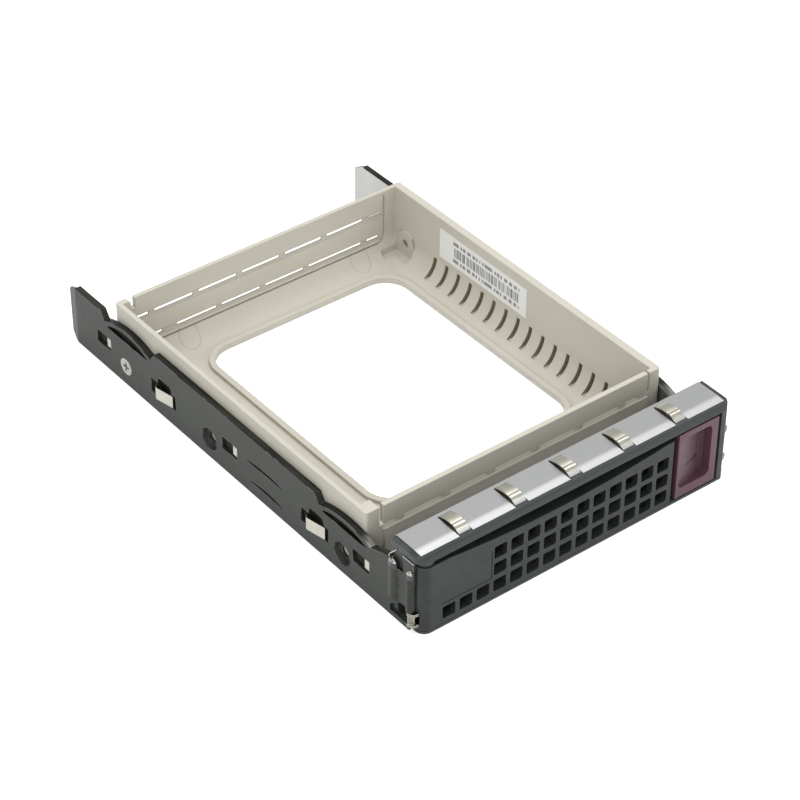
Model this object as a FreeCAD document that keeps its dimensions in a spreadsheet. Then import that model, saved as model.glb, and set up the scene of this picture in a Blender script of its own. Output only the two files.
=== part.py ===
import FreeCAD, Part
import math
import os
import Sketcher

# Hot swap drive caddy: a tray of two sheet rails behind a bezel with a swing-out grille handle.
# Frame: X across the tray, Y from the bezel (-) to the rear (+), Z up from the rails' lower edge.
# All lengths are millimetres. Places along a rail are measured forwards from its rear end.

DOC = FreeCAD.newDocument("DriveCaddy")
SHEET = DOC.addObject("Spreadsheet::Sheet", "Sizes")
Vector = FreeCAD.Vector
HALF = 0.5
LEFT = -1
RIGHT = 1


def text_of(value):
    """The text that a formula or a plain number takes inside a longer formula."""
    return value.text if isinstance(value, Formula) else repr(value)


class Formula:
    """A length worked out from the sheet: its text drives the model and float() gives its value."""

    def __init__(self, text):
        self.text = text

    def __float__(self):
        return float(SHEET.evalExpression(self.text))

    def __add__(self, other):
        return Formula(f"({self.text} + {text_of(other)})")

    def __sub__(self, other):
        return Formula(f"({self.text} - {text_of(other)})")

    def __mul__(self, other):
        return Formula(f"({self.text} * {text_of(other)})")

    def __truediv__(self, other):
        return Formula(f"({self.text} / {text_of(other)})")

    def __rmul__(self, other):
        return Formula(f"({text_of(other)} * {self.text})")

    def __neg__(self):
        return Formula(f"(-1 * {self.text})")


def size(alias, value):
    """Writes one driving dimension to the sheet and gives the formula that names it."""
    row = size.rows + 1
    size.rows = row
    SHEET.set(f"A{row}", alias)
    SHEET.set(f"B{row}", str(value))
    SHEET.setAlias(f"B{row}", alias)
    return Formula(f"Sizes.{alias}")


size.rows = 0

# Tray and rails. The other sizes were read at the drawn length and span.
LENGTH = size("overall_length", 163.7)
SPAN = size("rail_span", 105.8)
DRAWN_LENGTH = 163.7
DRAWN_SPAN = 105.8


def along(alias, value):
    """A length along the tray, which stretches with the overall length."""
    return size(alias, value) * LENGTH / DRAWN_LENGTH


def across(alias, value):
    """A length across the tray, which widens with the rail span."""
    return size(alias, value) * SPAN / DRAWN_SPAN


SHEET_T = size("rail_sheet", 0.8)
RAIL_TOP = size("rail_top", 19.3)
RAIL_END_TOP = size("rail_end_top", 17.0)
END_SLOPE = size("end_slope_run", 4.2)
END_CHAMFER_RUN = size("end_chamfer_run", 3.2)
END_CHAMFER_RISE = size("end_chamfer_rise", 1.7)
STEP_RUN = size("step_run", 1.8)
LEAD_RUN = size("lead_in_run", 4.2)
LEAD_OFFSET = size("lead_in_offset", 0.9)
LEAD_SKIN = size("lead_in_skin", 0.85)
RETURN_WIDTH = size("top_return_width", 1.2)
ARCH_FOOT = size("arch_foot_height", 16.6)
REAR_ARCH_PLACE = along("rear_arch_place", 19.35)
REAR_ARCH_SPAN = along("rear_arch_span", 23.3)
REAR_ARCH_TOP = size("rear_arch_top", 19.0)
FRONT_ARCH_PLACE = along("front_arch_place", 121.35)
FRONT_ARCH_SPAN = along("front_arch_span", 21.8)
FRONT_ARCH_TOP = size("front_arch_top", 18.5)
ARCH_BAND = size("arch_band", 1.0)
ARCH_SLIT_INSET = size("arch_slit_inset", 1.6)
ARCH_SLIT_FLOOR = size("arch_slit_floor", 15.2)
RAIL_SETBACK = size("rail_front_setback", 2.75)
TAB_LENGTH = size("front_tab_length", 4.0)
TAB_TOP = size("front_tab_top", 23.3)
TAB_FOOT = size("front_tab_foot", 17.7)
BEAD_SETBACK = size("bead_setback", 10.2)
BEAD_WIDTH = size("bead_width", 4.4)
BEAD_REACH = size("bead_reach", 1.0)
BEAD_INSIDE = size("bead_inside_reach", 0.5)
CURL_WIDTH = size("curl_width", 2.6)
CURL_TOP = size("curl_top", 18.0)
STRIP_TOP = size("bottom_strip_top", 1.7)
STRIP_SETBACK = size("bottom_strip_setback", 1.5)
NOTCH_TOP = size("hook_notch_top", 6.9)
NOTCH_THROAT = size("hook_notch_throat", 3.6)
NOTCH_LENGTH = size("hook_notch_length", 9.3)
NOTCH_SLOPE = size("hook_notch_slope", 4.1)

# Holes and windows in the rails
HOLE_HEIGHT = size("hole_height", 6.35)
HOLE_FROM_END = along("rear_hole_from_end", 29.6)
MIDDLE_PITCH = along("middle_hole_pitch", 41.28)
FRONT_PITCH = along("front_hole_pitch", 101.6)
SCREW_HOLE = size("screw_hole_radius", 1.7)
CUP_RIM = size("cup_rim_radius", 3.5)
CUP_FLOOR = size("cup_floor_radius", 2.9)
TAB_WINDOW = along("tab_window_length", 7.0)
TAB_WINDOW_TALL = size("tab_window_height", 4.1)
TAB_WINDOW_LOW = size("tab_window_low", 7.3)
REAR_TAB_PLACE = along("rear_tab_window_place", 15.15)
MIDDLE_TAB_PLACE = along("middle_tab_window_place", 77.15)
FRONT_TAB_PLACE = along("front_tab_window_place", 135.85)
FINGER_WINDOW = along("finger_window_length", 12.0)
FINGER_WINDOW_TALL = size("finger_window_height", 4.6)
FINGER_WINDOW_LOW = size("finger_window_low", 5.9)
REAR_FINGER_PLACE = along("rear_finger_window_place", 42.65)
FRONT_FINGER_PLACE = along("front_finger_window_place", 113.25)
WINDOW_CORNER = size("window_corner", 0.4)
HOOD_TOP = size("finger_hood_top", 12.6)
HOOD_START = size("finger_hood_start", 3.4)
HOOD_LENGTH = along("finger_hood_length", 6.6)
HOOD_CORNER = size("finger_hood_corner", 1.4)
LOUVRE_PLACE = along("louvre_place", 88.25)
LOUVRE_LENGTH = along("louvre_length", 17.1)
LOUVRE_RISE = size("louvre_rise", 1.0)
LOW_LOUVRE = size("low_louvre_height", 3.9)
HIGH_LOUVRE = size("high_louvre_height", 10.4)

# Grounding springs behind the rails
SPRING_T = size("ground_spring_sheet", 0.3)
SPRING_LOW = size("ground_spring_low", 12.0)
SPRING_HIGH = size("ground_spring_high", 14.4)
SPRING_START = along("ground_spring_start", 13.7)
SPRING_END = along("ground_spring_end", 142.7)
TAB_WIDTH = size("ground_tab_width", 2.1)
TAB_LOW = size("ground_tab_low", 7.9)
GROUND_TAB_TALL = size("ground_tab_height", 3.0)
GROUND_TAB_INSET = size("ground_tab_inset", 0.15)
COVER = size("window_cover", 0.2)
FINGER_LENGTH = along("side_finger_length", 7.7)
FINGER_TALL = size("side_finger_height", 4.0)
FINGER_LOW = size("side_finger_low", 6.0)
FINGER_REACH = size("side_finger_reach", 1.2)
FINGER_START = size("side_finger_start", 2.75)
FINGER_CREST = size("side_finger_crest", 1.8)
FINGER_SWELL = size("side_finger_swell", 0.7)

# Drive-shaped insert
DRIVE_WIDTH = across("drive_width", 101.6)
INSERT_LENGTH = along("insert_length", 116.3)
INSERT_BEHIND_HOLE = along("insert_behind_hole", 7.15)
INSERT_LOW = size("insert_low", 0.3)
INSERT_TOP = size("insert_top", 23.7)
INSERT_CORNER = size("insert_corner", 0.8)
FLOOR_TOP = size("insert_floor_top", 1.0)
RIGHT_WALL = size("insert_right_wall", 2.5)
LEFT_WALL = size("insert_left_wall", 1.5)
REAR_WALL = size("insert_rear_wall", 1.4)
FRONT_WALL = size("insert_front_wall", 1.6)
COVE = size("insert_cove", 8.0)
LEFT_COVE = size("insert_left_cove", 2.0)
WINDOW_WIDTH = across("floor_window_width", 67.7)
WINDOW_LENGTH = along("floor_window_length", 85.0)
WINDOW_OFFSET = across("floor_window_offset", 5.05)
WINDOW_BEHIND = along("floor_window_behind_wall", 9.8)
WINDOW_ROUND = size("floor_window_corner", 8.0)
RIM_WIDTH = size("floor_rim_width", 1.9)
RIM_RISE = size("floor_rim_rise", 1.0)
VENT_COUNT = size("vent_count", 15)
VENT_PITCH = along("vent_pitch", 5.5)
VENT_WIDTH = size("vent_width", 1.4)
VENT_START = along("vent_behind_hole", 13.15)
VENT_LOW = size("vent_low", 2.0)
VENT_TOP = size("vent_top", 8.5)
VENT_DEPTH = size("vent_depth", 6.2)
BOSS_RADIUS = size("boss_radius", 4.2)
BOSS_LOW = size("boss_low", 2.2)
BOSS_PROUD = size("boss_proud", 0.65)
PILOT = size("pilot_radius", 1.25)
POST_DEPTH = size("post_depth", 2.6)
POST_WIDTH = size("post_width", 2.9)
POST_SLOT = size("post_slot_width", 1.45)
POST_SLOT_DEPTH = size("post_slot_depth", 6.5)
STUB_DEPTH = size("rear_stub_depth", 0.5)
STUB_WIDTH = size("rear_stub_width", 2.6)
STUB_SLOT = size("rear_slot_width", 1.7)
STUB_SLOT_DEPTH = size("rear_slot_depth", 3.3)
STUB_ROUND = size("rear_stub_shoulder", 0.9)
RIGHT_SLOT = across("right_slot_place", 46.2)
LEDGE_TOP = size("front_ledge_top", 16.1)
LEDGE_PROUD = size("front_ledge_proud", 0.5)
SLIT_PLACE = across("upright_slit_place", 43.7)
SLIT_WIDE = size("upright_slit_width", 0.6)
SLIT_LENGTH = size("upright_slit_length", 3.0)
SLIT_LOW = size("upright_slit_low", 9.6)
SLIT_PITCH = size("upright_slit_pitch", 4.6)
SLIT_COUNT = size("upright_slit_count", 3)
DASH_LENGTH = across("dash_length", 13.3)
DASH_PITCH = across("dash_pitch", 15.35)
DASH_START = across("dash_start", -38.5)
DASH_TALL = size("dash_height", 1.3)
DASH_SKIN = size("dash_wall", 0.5)
DASH_RELIEF = size("dash_relief_drop", 1.0)
DASH_GROOVE = size("dash_groove_depth", 0.3)
DASH_LEDGE = size("dash_groove_ledge", 0.75)
DASH_LEVEL = size("rear_dash_level", 15.85)
FRONT_DASH_LEVEL = size("front_dash_level", 16.1)
FRONT_DASH_TALL = size("front_dash_height", 1.45)
END_DASH = across("end_dash_length", 5.0)
LOW_DASH_LEVEL = size("low_dash_level", 7.75)
LOW_DASH_TALL = size("low_dash_height", 1.2)
LOW_DASH_START = across("low_dash_start", -31.1)
LOW_DASH_LENGTH = across("low_dash_length", 13.8)
LOW_DASH_PITCH = across("low_dash_pitch", 15.7)
LOW_DASH_COUNT = size("low_dash_count", 3)
LONG_DASH = across("long_dash_length", 19.6)
WIDE_BRIDGE = across("wide_bridge", 5.2)
DASH_COUNT = size("dash_count", 5)
SCORE_DEPTH = size("score_depth", 0.4)
SCORE_WIDTH = size("score_width", 0.5)
SCORE_LEVEL = size("score_level", 5.9)
SCORE_SIDE = across("score_side", 43.6)
SCORE_TOP = size("score_top", 22.4)
SCORE_ROUND = size("score_corner", 2.4)

# Bezel frame
BEZEL_DEPTH = size("bezel_depth", 11.85)
BEAM_LOW = size("beam_low", 23.9)
BEAM_TOP = size("beam_top", 25.75)
BEAM_NOSE_RUN = size("beam_nose_run", 2.4)
BEAM_NOSE_DROP = size("beam_nose_drop", 1.6)
BEAM_NOSE_BULGE = size("beam_nose_bulge", 0.42)
BEAM_SIDE_GAP = size("beam_side_gap", 0.1)
BEAM_OVERHANG = size("beam_right_overhang", 0.9)
FOOT_TOP = size("right_foot_top", 2.2)
FOOT_DEPTH = size("right_foot_depth", 4.5)
LIP = size("bottom_lip", 0.8)
SIDE_WALL = size("bezel_side_wall", 1.4)
SIDE_WALL_FRONT = size("bezel_side_wall_setback", 6.0)
REAR_WEB = size("bezel_rear_web", 2.0)
WEB_LOW = size("web_window_low", 3.0)
WEB_TOP = size("web_window_top", 21.5)
POST_INNER = size("right_post_inner", 2.0)
POST_PROUD = size("right_post_proud", 0.5)
POST_FRONT = size("right_post_front", 2.6)
GUIDE_DEPTH = size("latch_guide_depth", 5.0)
GUIDE_SETBACK = size("latch_guide_setback", 2.0)
EAR_RADIUS = size("hinge_ear_radius", 2.5)
EAR_GAP = size("hinge_ear_gap", 0.2)

# Grille handle
HANDLE_LOW = size("handle_low", 1.1)
HANDLE_TOP = size("handle_top", 22.2)
HANDLE_RIGHT = across("handle_right_end", 33.5)
HANDLE_DEPTH = size("handle_depth", 8.0)
HANDLE_SKIN = size("handle_skin", 2.0)
HANDLE_RIM = size("handle_rim", 1.2)
HANDLE_TOP_RIM = size("handle_top_rim", 3.6)
HANDLE_DIP = size("handle_top_dip", 2.2)
HANDLE_BEVEL = size("handle_bevel", 0.5)
DIP_INSET = size("handle_dip_inset", 6.0)
PIVOT_INSET = size("pivot_inset", 3.9)
KNUCKLE = size("knuckle_radius", 2.9)
PIN = size("hinge_pin_radius", 1.0)
PIN_FIT = size("hinge_pin_clearance", 0.04)
PIN_LOW = size("hinge_pin_low", 0.05)
PIN_TOP = size("hinge_pin_top", 24.8)
GRILLE_X = across("grille_start", -43.2)
GRILLE_Z = size("grille_low_row", 4.6)
GRILLE_PITCH = across("grille_pitch", 5.6)
GRILLE_RISE = size("grille_row_pitch", 5.63)
GRILLE_WIDE = across("grille_hole_width", 4.3)
GRILLE_TALL = size("grille_hole_height", 4.15)
GRILLE_TRIM = size("grille_hole_corner", 0.4)
LOW_ROW = size("grille_low_count", 14)
HIGH_ROW = size("grille_high_count", 11)
HIGH_ROWS = size("grille_high_rows", 2)
GROOVE_X = across("panel_groove_side", -29.5)
GROOVE_TOP = size("panel_groove_top", 17.3)
GROOVE_LOW = size("panel_groove_low", 7.6)
GROOVE_END = across("panel_groove_end", -45.7)
GROOVE_WIDE = size("panel_groove_width", 0.5)
GROOVE_DEEP = size("panel_groove_depth", 0.3)
CAVITY_LOW = size("hook_cavity_low", 1.9)
CAVITY_TOP = size("hook_cavity_top", 7.0)
CAVITY_SKIN = size("hook_cavity_skin", 0.8)
CAVITY_SIDE = size("hook_cavity_side", 3.5)

# Ejector hook on the hinge pin
HOOK_LOW = size("hook_low", 2.1)
HOOK_TOP = size("hook_top", 6.6)
HOOK_SHEET = size("hook_sheet", 0.8)
HOOK_REACH = size("hook_reach", 5.0)
HOOK_TIP = size("hook_tip_back", 1.2)
HOOK_SHOULDER = size("hook_shoulder", 4.2)
HOOK_FRONT = size("hook_front", 0.8)
HOOK_BACK = size("hook_back", 2.2)
HOOK_HUB = size("hook_hub", 1.8)
HOOK_ROUND = size("hook_round", 0.6)

# Release latch
LATCH_LEFT = across("latch_left", 35.1)
LATCH_RIGHT = across("latch_right", 49.4)
LATCH_LOW = size("latch_low", 1.4)
LATCH_TOP = size("latch_top", 23.1)
LATCH_DEPTH = size("latch_depth", 8.0)
LATCH_GAP = size("latch_running_gap", 0.1)
THUMB_LEFT = size("thumb_pocket_left", 0.7)
THUMB_RIGHT = size("thumb_pocket_right", 2.2)
THUMB_LOW = size("thumb_pocket_low", 2.9)
THUMB_TOP = size("thumb_pocket_top", 1.7)
THUMB_DEEP = size("thumb_pocket_depth", 3.2)
THUMB_SHALLOW = size("thumb_pocket_shallow", 0.25)
THUMB_ROUND = size("thumb_pocket_corner", 1.8)
TONGUE = size("latch_tongue", 1.3)
TONGUE_BACK = size("latch_tongue_setback", 3.8)
TONGUE_DEPTH = size("latch_tongue_depth", 1.6)
TONGUE_LOW = size("latch_tongue_low", 9.0)
TONGUE_TOP = size("latch_tongue_top", 15.0)

# Conductive shield on the beam, and the clip on the right post
SHIELD_T = size("shield_sheet", 0.3)
SHIELD_LEFT_INSET = size("shield_left_inset", 1.7)
SHIELD_RIGHT_INSET = size("shield_right_inset", 0.5)
SHIELD_BACK = size("shield_setback", 1.8)
SHIELD_LIP_RUN = size("shield_lip_run", 2.8)
SHIELD_LIP_DROP = size("shield_lip_drop", 0.22)
BOW_COUNT = size("bow_count", 5)
BOW_START = across("bow_start", -36.6)
BOW_PITCH = across("bow_pitch", 18.45)
BOW_WIDE = size("bow_width", 4.4)
BOW_SIDE = size("bow_side_gap", 0.35)
BOW_RISE = size("bow_rise", 1.45)
BOW_FRONT = size("bow_front_setback", 2.45)
BOW_REAR = size("bow_rear_setback", 10.85)
BOW_ROOT = size("bow_root", 0.6)
BOW_CREST = size("bow_crest_from_rear", 5.2)
CLIP_T = size("clip_sheet", 0.3)
CLIP_LOW = size("clip_low", 4.6)
CLIP_TOP = size("clip_top", 20.0)
CLIP_WIDE = size("clip_width", 1.8)
CLIP_SETBACK = size("clip_setback", 0.5)
CLIP_BOW = size("clip_bow_length", 3.0)
CLIP_REACH = size("clip_bow_reach", 1.1)
CLIP_HIGH_BOW = size("clip_high_bow", 16.8)
CLIP_LOW_BOW = size("clip_low_bow", 7.25)

# Perforated front plate
PLATE_T = size("plate_sheet", 0.8)
PLATE_LOW = size("plate_low", 1.0)
PLATE_TOP = size("plate_top", 23.0)
PLATE_SIDE = size("plate_side_gap", 1.4)
EAR_LENGTH = size("plate_ear_length", 7.0)
EAR_TOP = size("plate_ear_top", 15.0)
PLATE_HOLE = size("plate_hole", 4.0)

# Screws and label
SCREW_CORE = size("screw_core_radius", 1.2)
SCREW_HEAD = size("screw_head_radius", 2.7)
HEAD_FIT = size("screw_head_clearance", 0.1)
SCREW_LENGTH = size("screw_length", 3.2)
DRIVE_SLOT = size("screw_recess_length", 2.8)
DRIVE_SLOT_W = size("screw_recess_width", 0.6)
DRIVE_SLOT_D = size("screw_recess_depth", 0.5)
LABEL_LENGTH = along("label_length", 39.7)
LABEL_TALL = size("label_height", 10.0)
LABEL_T = size("label_thickness", 0.1)
LABEL_FRONT = along("label_behind_hole", 15.9)
LABEL_LOW = size("label_low", 10.4)
BEYOND = size("cutter_overrun", 2.0)

DOC.recompute()

# Places that several pieces share
FRONT = -(LENGTH * HALF)
REAR = LENGTH * HALF
RAIL_OUT = SPAN * HALF
RAIL_IN = RAIL_OUT - SHEET_T
RAIL_FRONT = FRONT + RAIL_SETBACK
INSERT_SIDE = DRIVE_WIDTH * HALF
REAR_HOLE = REAR - HOLE_FROM_END
HOLES = (REAR_HOLE, REAR_HOLE - MIDDLE_PITCH, REAR_HOLE - FRONT_PITCH)
BEZEL_REAR = FRONT + BEZEL_DEPTH
BEAD_START = RAIL_FRONT + BEAD_SETBACK
PIVOT_X = RAIL_OUT - PIVOT_INSET
PIVOT_Y = FRONT + KNUCKLE
POST_X = RAIL_OUT - POST_PROUD
COS_45 = 0.7071


def piece(name):
    """A new body: one physical piece, whose label names its file."""
    body = DOC.addObject("PartDesign::Body", name)
    body.Label = name
    PIECES.append(body)
    return body


PIECES = []
PLANES = {"x": ("YZ_Plane", 1), "y": ("XZ_Plane", -1), "z": ("XY_Plane", 1)}


def origin_feature(body, role):
    """One of the body's own origin planes or axes."""
    return next(item for item in body.Origin.OriginFeatures if item.Role == role)


def place_sketch(body, name, axis, level):
    """An empty sketch square to an axis of the frame, at a level along it."""
    role, sense = PLANES[axis]
    sketch = body.newObject("Sketcher::SketchObject", name)
    sketch.AttachmentSupport = (origin_feature(body, role), [""])
    sketch.MapMode = "FlatFace"
    sketch.setExpression("AttachmentOffset.Base.z", (level * sense).text)
    return sketch


def pin_down(sketch, geometry, vertex, across, up):
    """Holds one point of a sketch at two formulas, measured from the sketch's origin."""
    for kind, formula in (("DistanceX", across), ("DistanceY", up)):
        rule = Sketcher.Constraint(kind, -1, 1, geometry, vertex, float(formula))
        index = sketch.addConstraint(rule)
        sketch.setExpression(f"Constraints[{index}]", formula.text)


def via(across, up):
    """A point on the arc that joins the corners before and after it."""
    return ("via", across, up)


def arc_through(start, middle, end):
    """An anticlockwise arc through three points, and whether it runs from start to end."""
    centre = Part.Arc(start, middle, end).toShape().Curve.Center
    onward = (middle - start).cross(end - middle).z > 0
    first, last = (start, end) if onward else (end, start)
    return arc_about(centre, first, last), onward


def arc_about(centre, first, last):
    """An anticlockwise arc about a centre from one point to another."""
    circle = Part.Circle(centre, Vector(0, 0, 1), (first - centre).Length)
    return Part.ArcOfCircle(circle, circle.parameter(first), circle.parameter(last))


def round_corner(before, corner, after, radius):
    """Tangent points, centre and turning sense of the round at a corner."""
    inward = (before - corner).normalize()
    outward = (after - corner).normalize()
    half_angle = inward.getAngle(outward) * HALF
    bisector = (inward + outward).normalize()
    centre = corner + bisector * (radius / math.sin(half_angle))
    run = radius / math.tan(half_angle)
    turns_left = (corner - before).cross(after - corner).z > 0
    return corner + inward * run, corner + outward * run, centre, turns_left


def outline(body, name, axis, level, corners):
    """A closed sketch: each corner is (across, up) or (across, up, radius), bends come from via()."""
    sketch = place_sketch(body, name, axis, level)
    stops = [corner for corner in corners if corner[0] != "via"]
    bends = {}
    for index, corner in enumerate(corners):
        if corner[0] == "via":
            before = sum(1 for earlier in corners[:index] if earlier[0] != "via")
            bends[before - 1] = corner[1:]
    points = [Vector(float(stop[0]), float(stop[1]), 0) for stop in stops]
    count = len(stops)
    arrive, leave, rounds = list(points), list(points), {}
    for index, stop in enumerate(stops):
        if len(stop) == 3:
            before, after = points[index - 1], points[(index + 1) % count]
            first, last, centre, left = round_corner(before, points[index], after, float(stop[2]))
            arrive[index], leave[index] = first, last
            ends = (first, last) if left else (last, first)
            rounds[index] = (sketch.addGeometry(arc_about(centre, *ends), False), left)
    runs = []
    for index in range(count):
        start, end = leave[index], arrive[(index + 1) % count]
        if index in bends:
            across, up = bends[index]
            curve, onward = arc_through(start, Vector(float(across), float(up), 0), end)
            geometry = sketch.addGeometry(curve, False)
            mark = sketch.addGeometry(Part.Point(Vector(float(across), float(up), 0)), True)
            pin_down(sketch, mark, 1, across, up)
            sketch.addConstraint(Sketcher.Constraint("PointOnObject", mark, 1, geometry))
            runs.append((geometry, 1 if onward else 2, 2 if onward else 1))
        else:
            geometry = sketch.addGeometry(Part.LineSegment(start, end), False)
            runs.append((geometry, 1, 2))
    for index, stop in enumerate(stops):
        before, after = runs[index - 1], runs[index]
        if index in rounds:
            arc, left = rounds[index]
            first, last = (1, 2) if left else (2, 1)
            mark = sketch.addGeometry(Part.Point(points[index]), True)
            pin_down(sketch, mark, 1, stop[0], stop[1])
            sketch.addConstraint(Sketcher.Constraint("PointOnObject", mark, 1, before[0]))
            sketch.addConstraint(Sketcher.Constraint("PointOnObject", mark, 1, after[0]))
            sketch.addConstraint(Sketcher.Constraint("Tangent", before[0], before[2], arc, first))
            sketch.addConstraint(Sketcher.Constraint("Tangent", arc, last, after[0], after[1]))
            rule = sketch.addConstraint(Sketcher.Constraint("Radius", arc, float(stop[2])))
            sketch.setExpression(f"Constraints[{rule}]", stop[2].text)
        else:
            join = Sketcher.Constraint("Coincident", before[0], before[2], after[0], after[1])
            sketch.addConstraint(join)
            pin_down(sketch, after[0], after[1], stop[0], stop[1])
    return sketch


def ring(body, name, axis, level, across, up, radius):
    """A sketch of one circle."""
    sketch = place_sketch(body, name, axis, level)
    centre = Vector(float(across), float(up), 0)
    circle = sketch.addGeometry(Part.Circle(centre, Vector(0, 0, 1), float(radius)), False)
    pin_down(sketch, circle, 3, across, up)
    rule = sketch.addConstraint(Sketcher.Constraint("Radius", circle, float(radius)))
    sketch.setExpression(f"Constraints[{rule}]", radius.text)
    return sketch


def extrude(body, name, kind, axis, sketch, low, high):
    """A pad or pocket from one level along an axis to another."""
    feature = body.newObject(kind, name)
    feature.Profile = (sketch, [""])
    feature.setExpression("Length", (high - low).text)
    against = axis == "y"
    feature.Reversed = against if kind == "PartDesign::Pad" else not against
    return feature


def slab(body, name, axis, low, high, corners):
    """Material between two levels, inside an outline."""
    sketch = outline(body, name + "_outline", axis, low, corners)
    return extrude(body, name, "PartDesign::Pad", axis, sketch, low, high)


def cut(body, name, axis, low, high, corners):
    """Material taken away between two levels, inside an outline."""
    sketch = outline(body, name + "_outline", axis, low, corners)
    return extrude(body, name, "PartDesign::Pocket", axis, sketch, low, high)


def rod(body, name, axis, low, high, across, up, radius):
    """A round bar between two levels."""
    sketch = ring(body, name + "_circle", axis, low, across, up, radius)
    return extrude(body, name, "PartDesign::Pad", axis, sketch, low, high)


def drill(body, name, axis, low, high, across, up, radius):
    """A round hole between two levels."""
    sketch = ring(body, name + "_circle", axis, low, across, up, radius)
    return extrude(body, name, "PartDesign::Pocket", axis, sketch, low, high)


def box(left, right, low, high, radius=None):
    """The four corners of a rectangle, rounded if a radius is given."""
    corners = ((left, low), (right, low), (right, high), (left, high))
    return [corner + ((radius,) if radius else ()) for corner in corners]


def repeat(body, name, feature, axis, pitch, count, second=None):
    """Equal copies of a feature along an axis, and along a second one where it is given."""
    pattern = body.newObject("PartDesign::LinearPattern", name)
    pattern.Originals = [feature]
    pattern.Direction = (origin_feature(body, f"{axis}_Axis"), [""])
    pattern.setExpression("Length", (pitch * (count - 1)).text)
    pattern.setExpression("Occurrences", count.text)
    if second:
        second_axis, second_pitch, second_count = second
        pattern.Direction2 = (origin_feature(body, f"{second_axis}_Axis"), [""])
        pattern.setExpression("Length2", (second_pitch * (second_count - 1)).text)
        pattern.setExpression("Occurrences2", second_count.text)
    body.Tip = pattern
    return pattern


def cone(body, name, kind, side, start, reach, place, near, far):
    """A cone along X at the hole height, from one radius at its start to another at its end."""
    feature = body.newObject(kind, name)
    feature.Placement.Rotation = FreeCAD.Rotation(Vector(0, 1, 0), 90 * side)
    feature.setExpression("Placement.Base.x", (start * side).text)
    feature.setExpression("Placement.Base.y", place.text)
    feature.setExpression("Placement.Base.z", HOLE_HEIGHT.text)
    feature.setExpression("Radius1", near.text)
    feature.setExpression("Radius2", far.text)
    feature.setExpression("Height", reach.text)
    return feature


def spread(side, near, far):
    """Two distances from the middle plane as low and high levels on one side of it."""
    return (near, far) if side == RIGHT else (-far, -near)


def from_rear(place):
    """The Y of a place measured forwards from the rails' rear end."""
    return REAR - place


def top_line(drop):
    """The rail's upper edge from its rear slope to its front shoulder, lowered by a drop."""
    def level(height):
        return height - drop

    rear_arch_end = REAR_ARCH_PLACE + REAR_ARCH_SPAN
    front_arch_end = FRONT_ARCH_PLACE + FRONT_ARCH_SPAN
    return [
        (from_rear(END_SLOPE), level(RAIL_TOP)),
        (from_rear(REAR_ARCH_PLACE - STEP_RUN), level(RAIL_TOP)),
        (from_rear(REAR_ARCH_PLACE), level(ARCH_FOOT)),
        via(from_rear(REAR_ARCH_PLACE + REAR_ARCH_SPAN * HALF), level(REAR_ARCH_TOP)),
        (from_rear(rear_arch_end), level(ARCH_FOOT)),
        (from_rear(rear_arch_end + STEP_RUN), level(RAIL_TOP)),
        (from_rear(FRONT_ARCH_PLACE - STEP_RUN), level(RAIL_TOP)),
        (from_rear(FRONT_ARCH_PLACE), level(ARCH_FOOT)),
        via(from_rear(FRONT_ARCH_PLACE + FRONT_ARCH_SPAN * HALF), level(FRONT_ARCH_TOP)),
        (from_rear(front_arch_end), level(ARCH_FOOT)),
        (BEAD_START, level(RAIL_TOP)),
    ]


def backwards(corners):
    """The same outline walked the other way."""
    return list(reversed(corners))


def build_rail(side, name):
    """A folded sheet rail: plan path first, then its side outline, return, holes and beads."""
    body = piece(name)
    bend = REAR - LEAD_RUN
    plan = [
        (RAIL_OUT * side, RAIL_FRONT),
        (RAIL_OUT * side, bend),
        ((RAIL_OUT - LEAD_OFFSET) * side, REAR),
        ((RAIL_OUT - LEAD_OFFSET - LEAD_SKIN) * side, REAR),
        (RAIL_IN * side, bend - (LEAD_SKIN - SHEET_T)),
        (RAIL_IN * side, RAIL_FRONT),
    ]
    slab(body, f"{name}_sheet", "z", Formula("0"), TAB_TOP, plan)
    low, high = spread(side, RAIL_OUT - LEAD_OFFSET - LEAD_SKIN - BEYOND, RAIL_OUT + BEYOND)
    crown = [
        (REAR + BEYOND, RAIL_END_TOP - BEYOND * (RAIL_TOP - RAIL_END_TOP) / END_SLOPE),
        *top_line(Formula("0")),
        (BEAD_START, TAB_FOOT),
        (RAIL_FRONT + TAB_LENGTH, TAB_FOOT),
        (RAIL_FRONT + TAB_LENGTH, TAB_TOP + BEYOND),
        (REAR + BEYOND, TAB_TOP + BEYOND),
    ]
    cut(body, f"{name}_crown", "x", low, high, crown)
    heel = [
        (from_rear(END_CHAMFER_RUN), Formula("0")),
        (REAR, END_CHAMFER_RISE),
        (REAR + BEYOND, END_CHAMFER_RISE),
        (REAR + BEYOND, -BEYOND),
        (from_rear(END_CHAMFER_RUN), -BEYOND),
    ]
    cut(body, f"{name}_heel", "x", low, high, heel)
    build_return(body, name, side)
    build_beads(body, name, side)
    build_rail_openings(body, name, side)
    seat = SCREW_HEAD + HEAD_FIT
    build_cup(body, f"{name}_rear_cup", side, HOLES[0], seat, seat + HEAD_FIT)
    build_cup(body, f"{name}_middle_cup", side, HOLES[1], CUP_FLOOR, CUP_RIM)
    build_cup(body, f"{name}_front_cup", side, HOLES[2], CUP_FLOOR, CUP_RIM)
    return body


def build_return(body, name, side):
    """The narrow flange folded inwards along the upper edge."""
    low, high = spread(side, RAIL_IN - RETURN_WIDTH, RAIL_IN + SHEET_T * HALF)
    band = top_line(Formula("0")) + backwards(top_line(SHEET_T))
    slab(body, f"{name}_return", "x", low, high, band)


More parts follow.
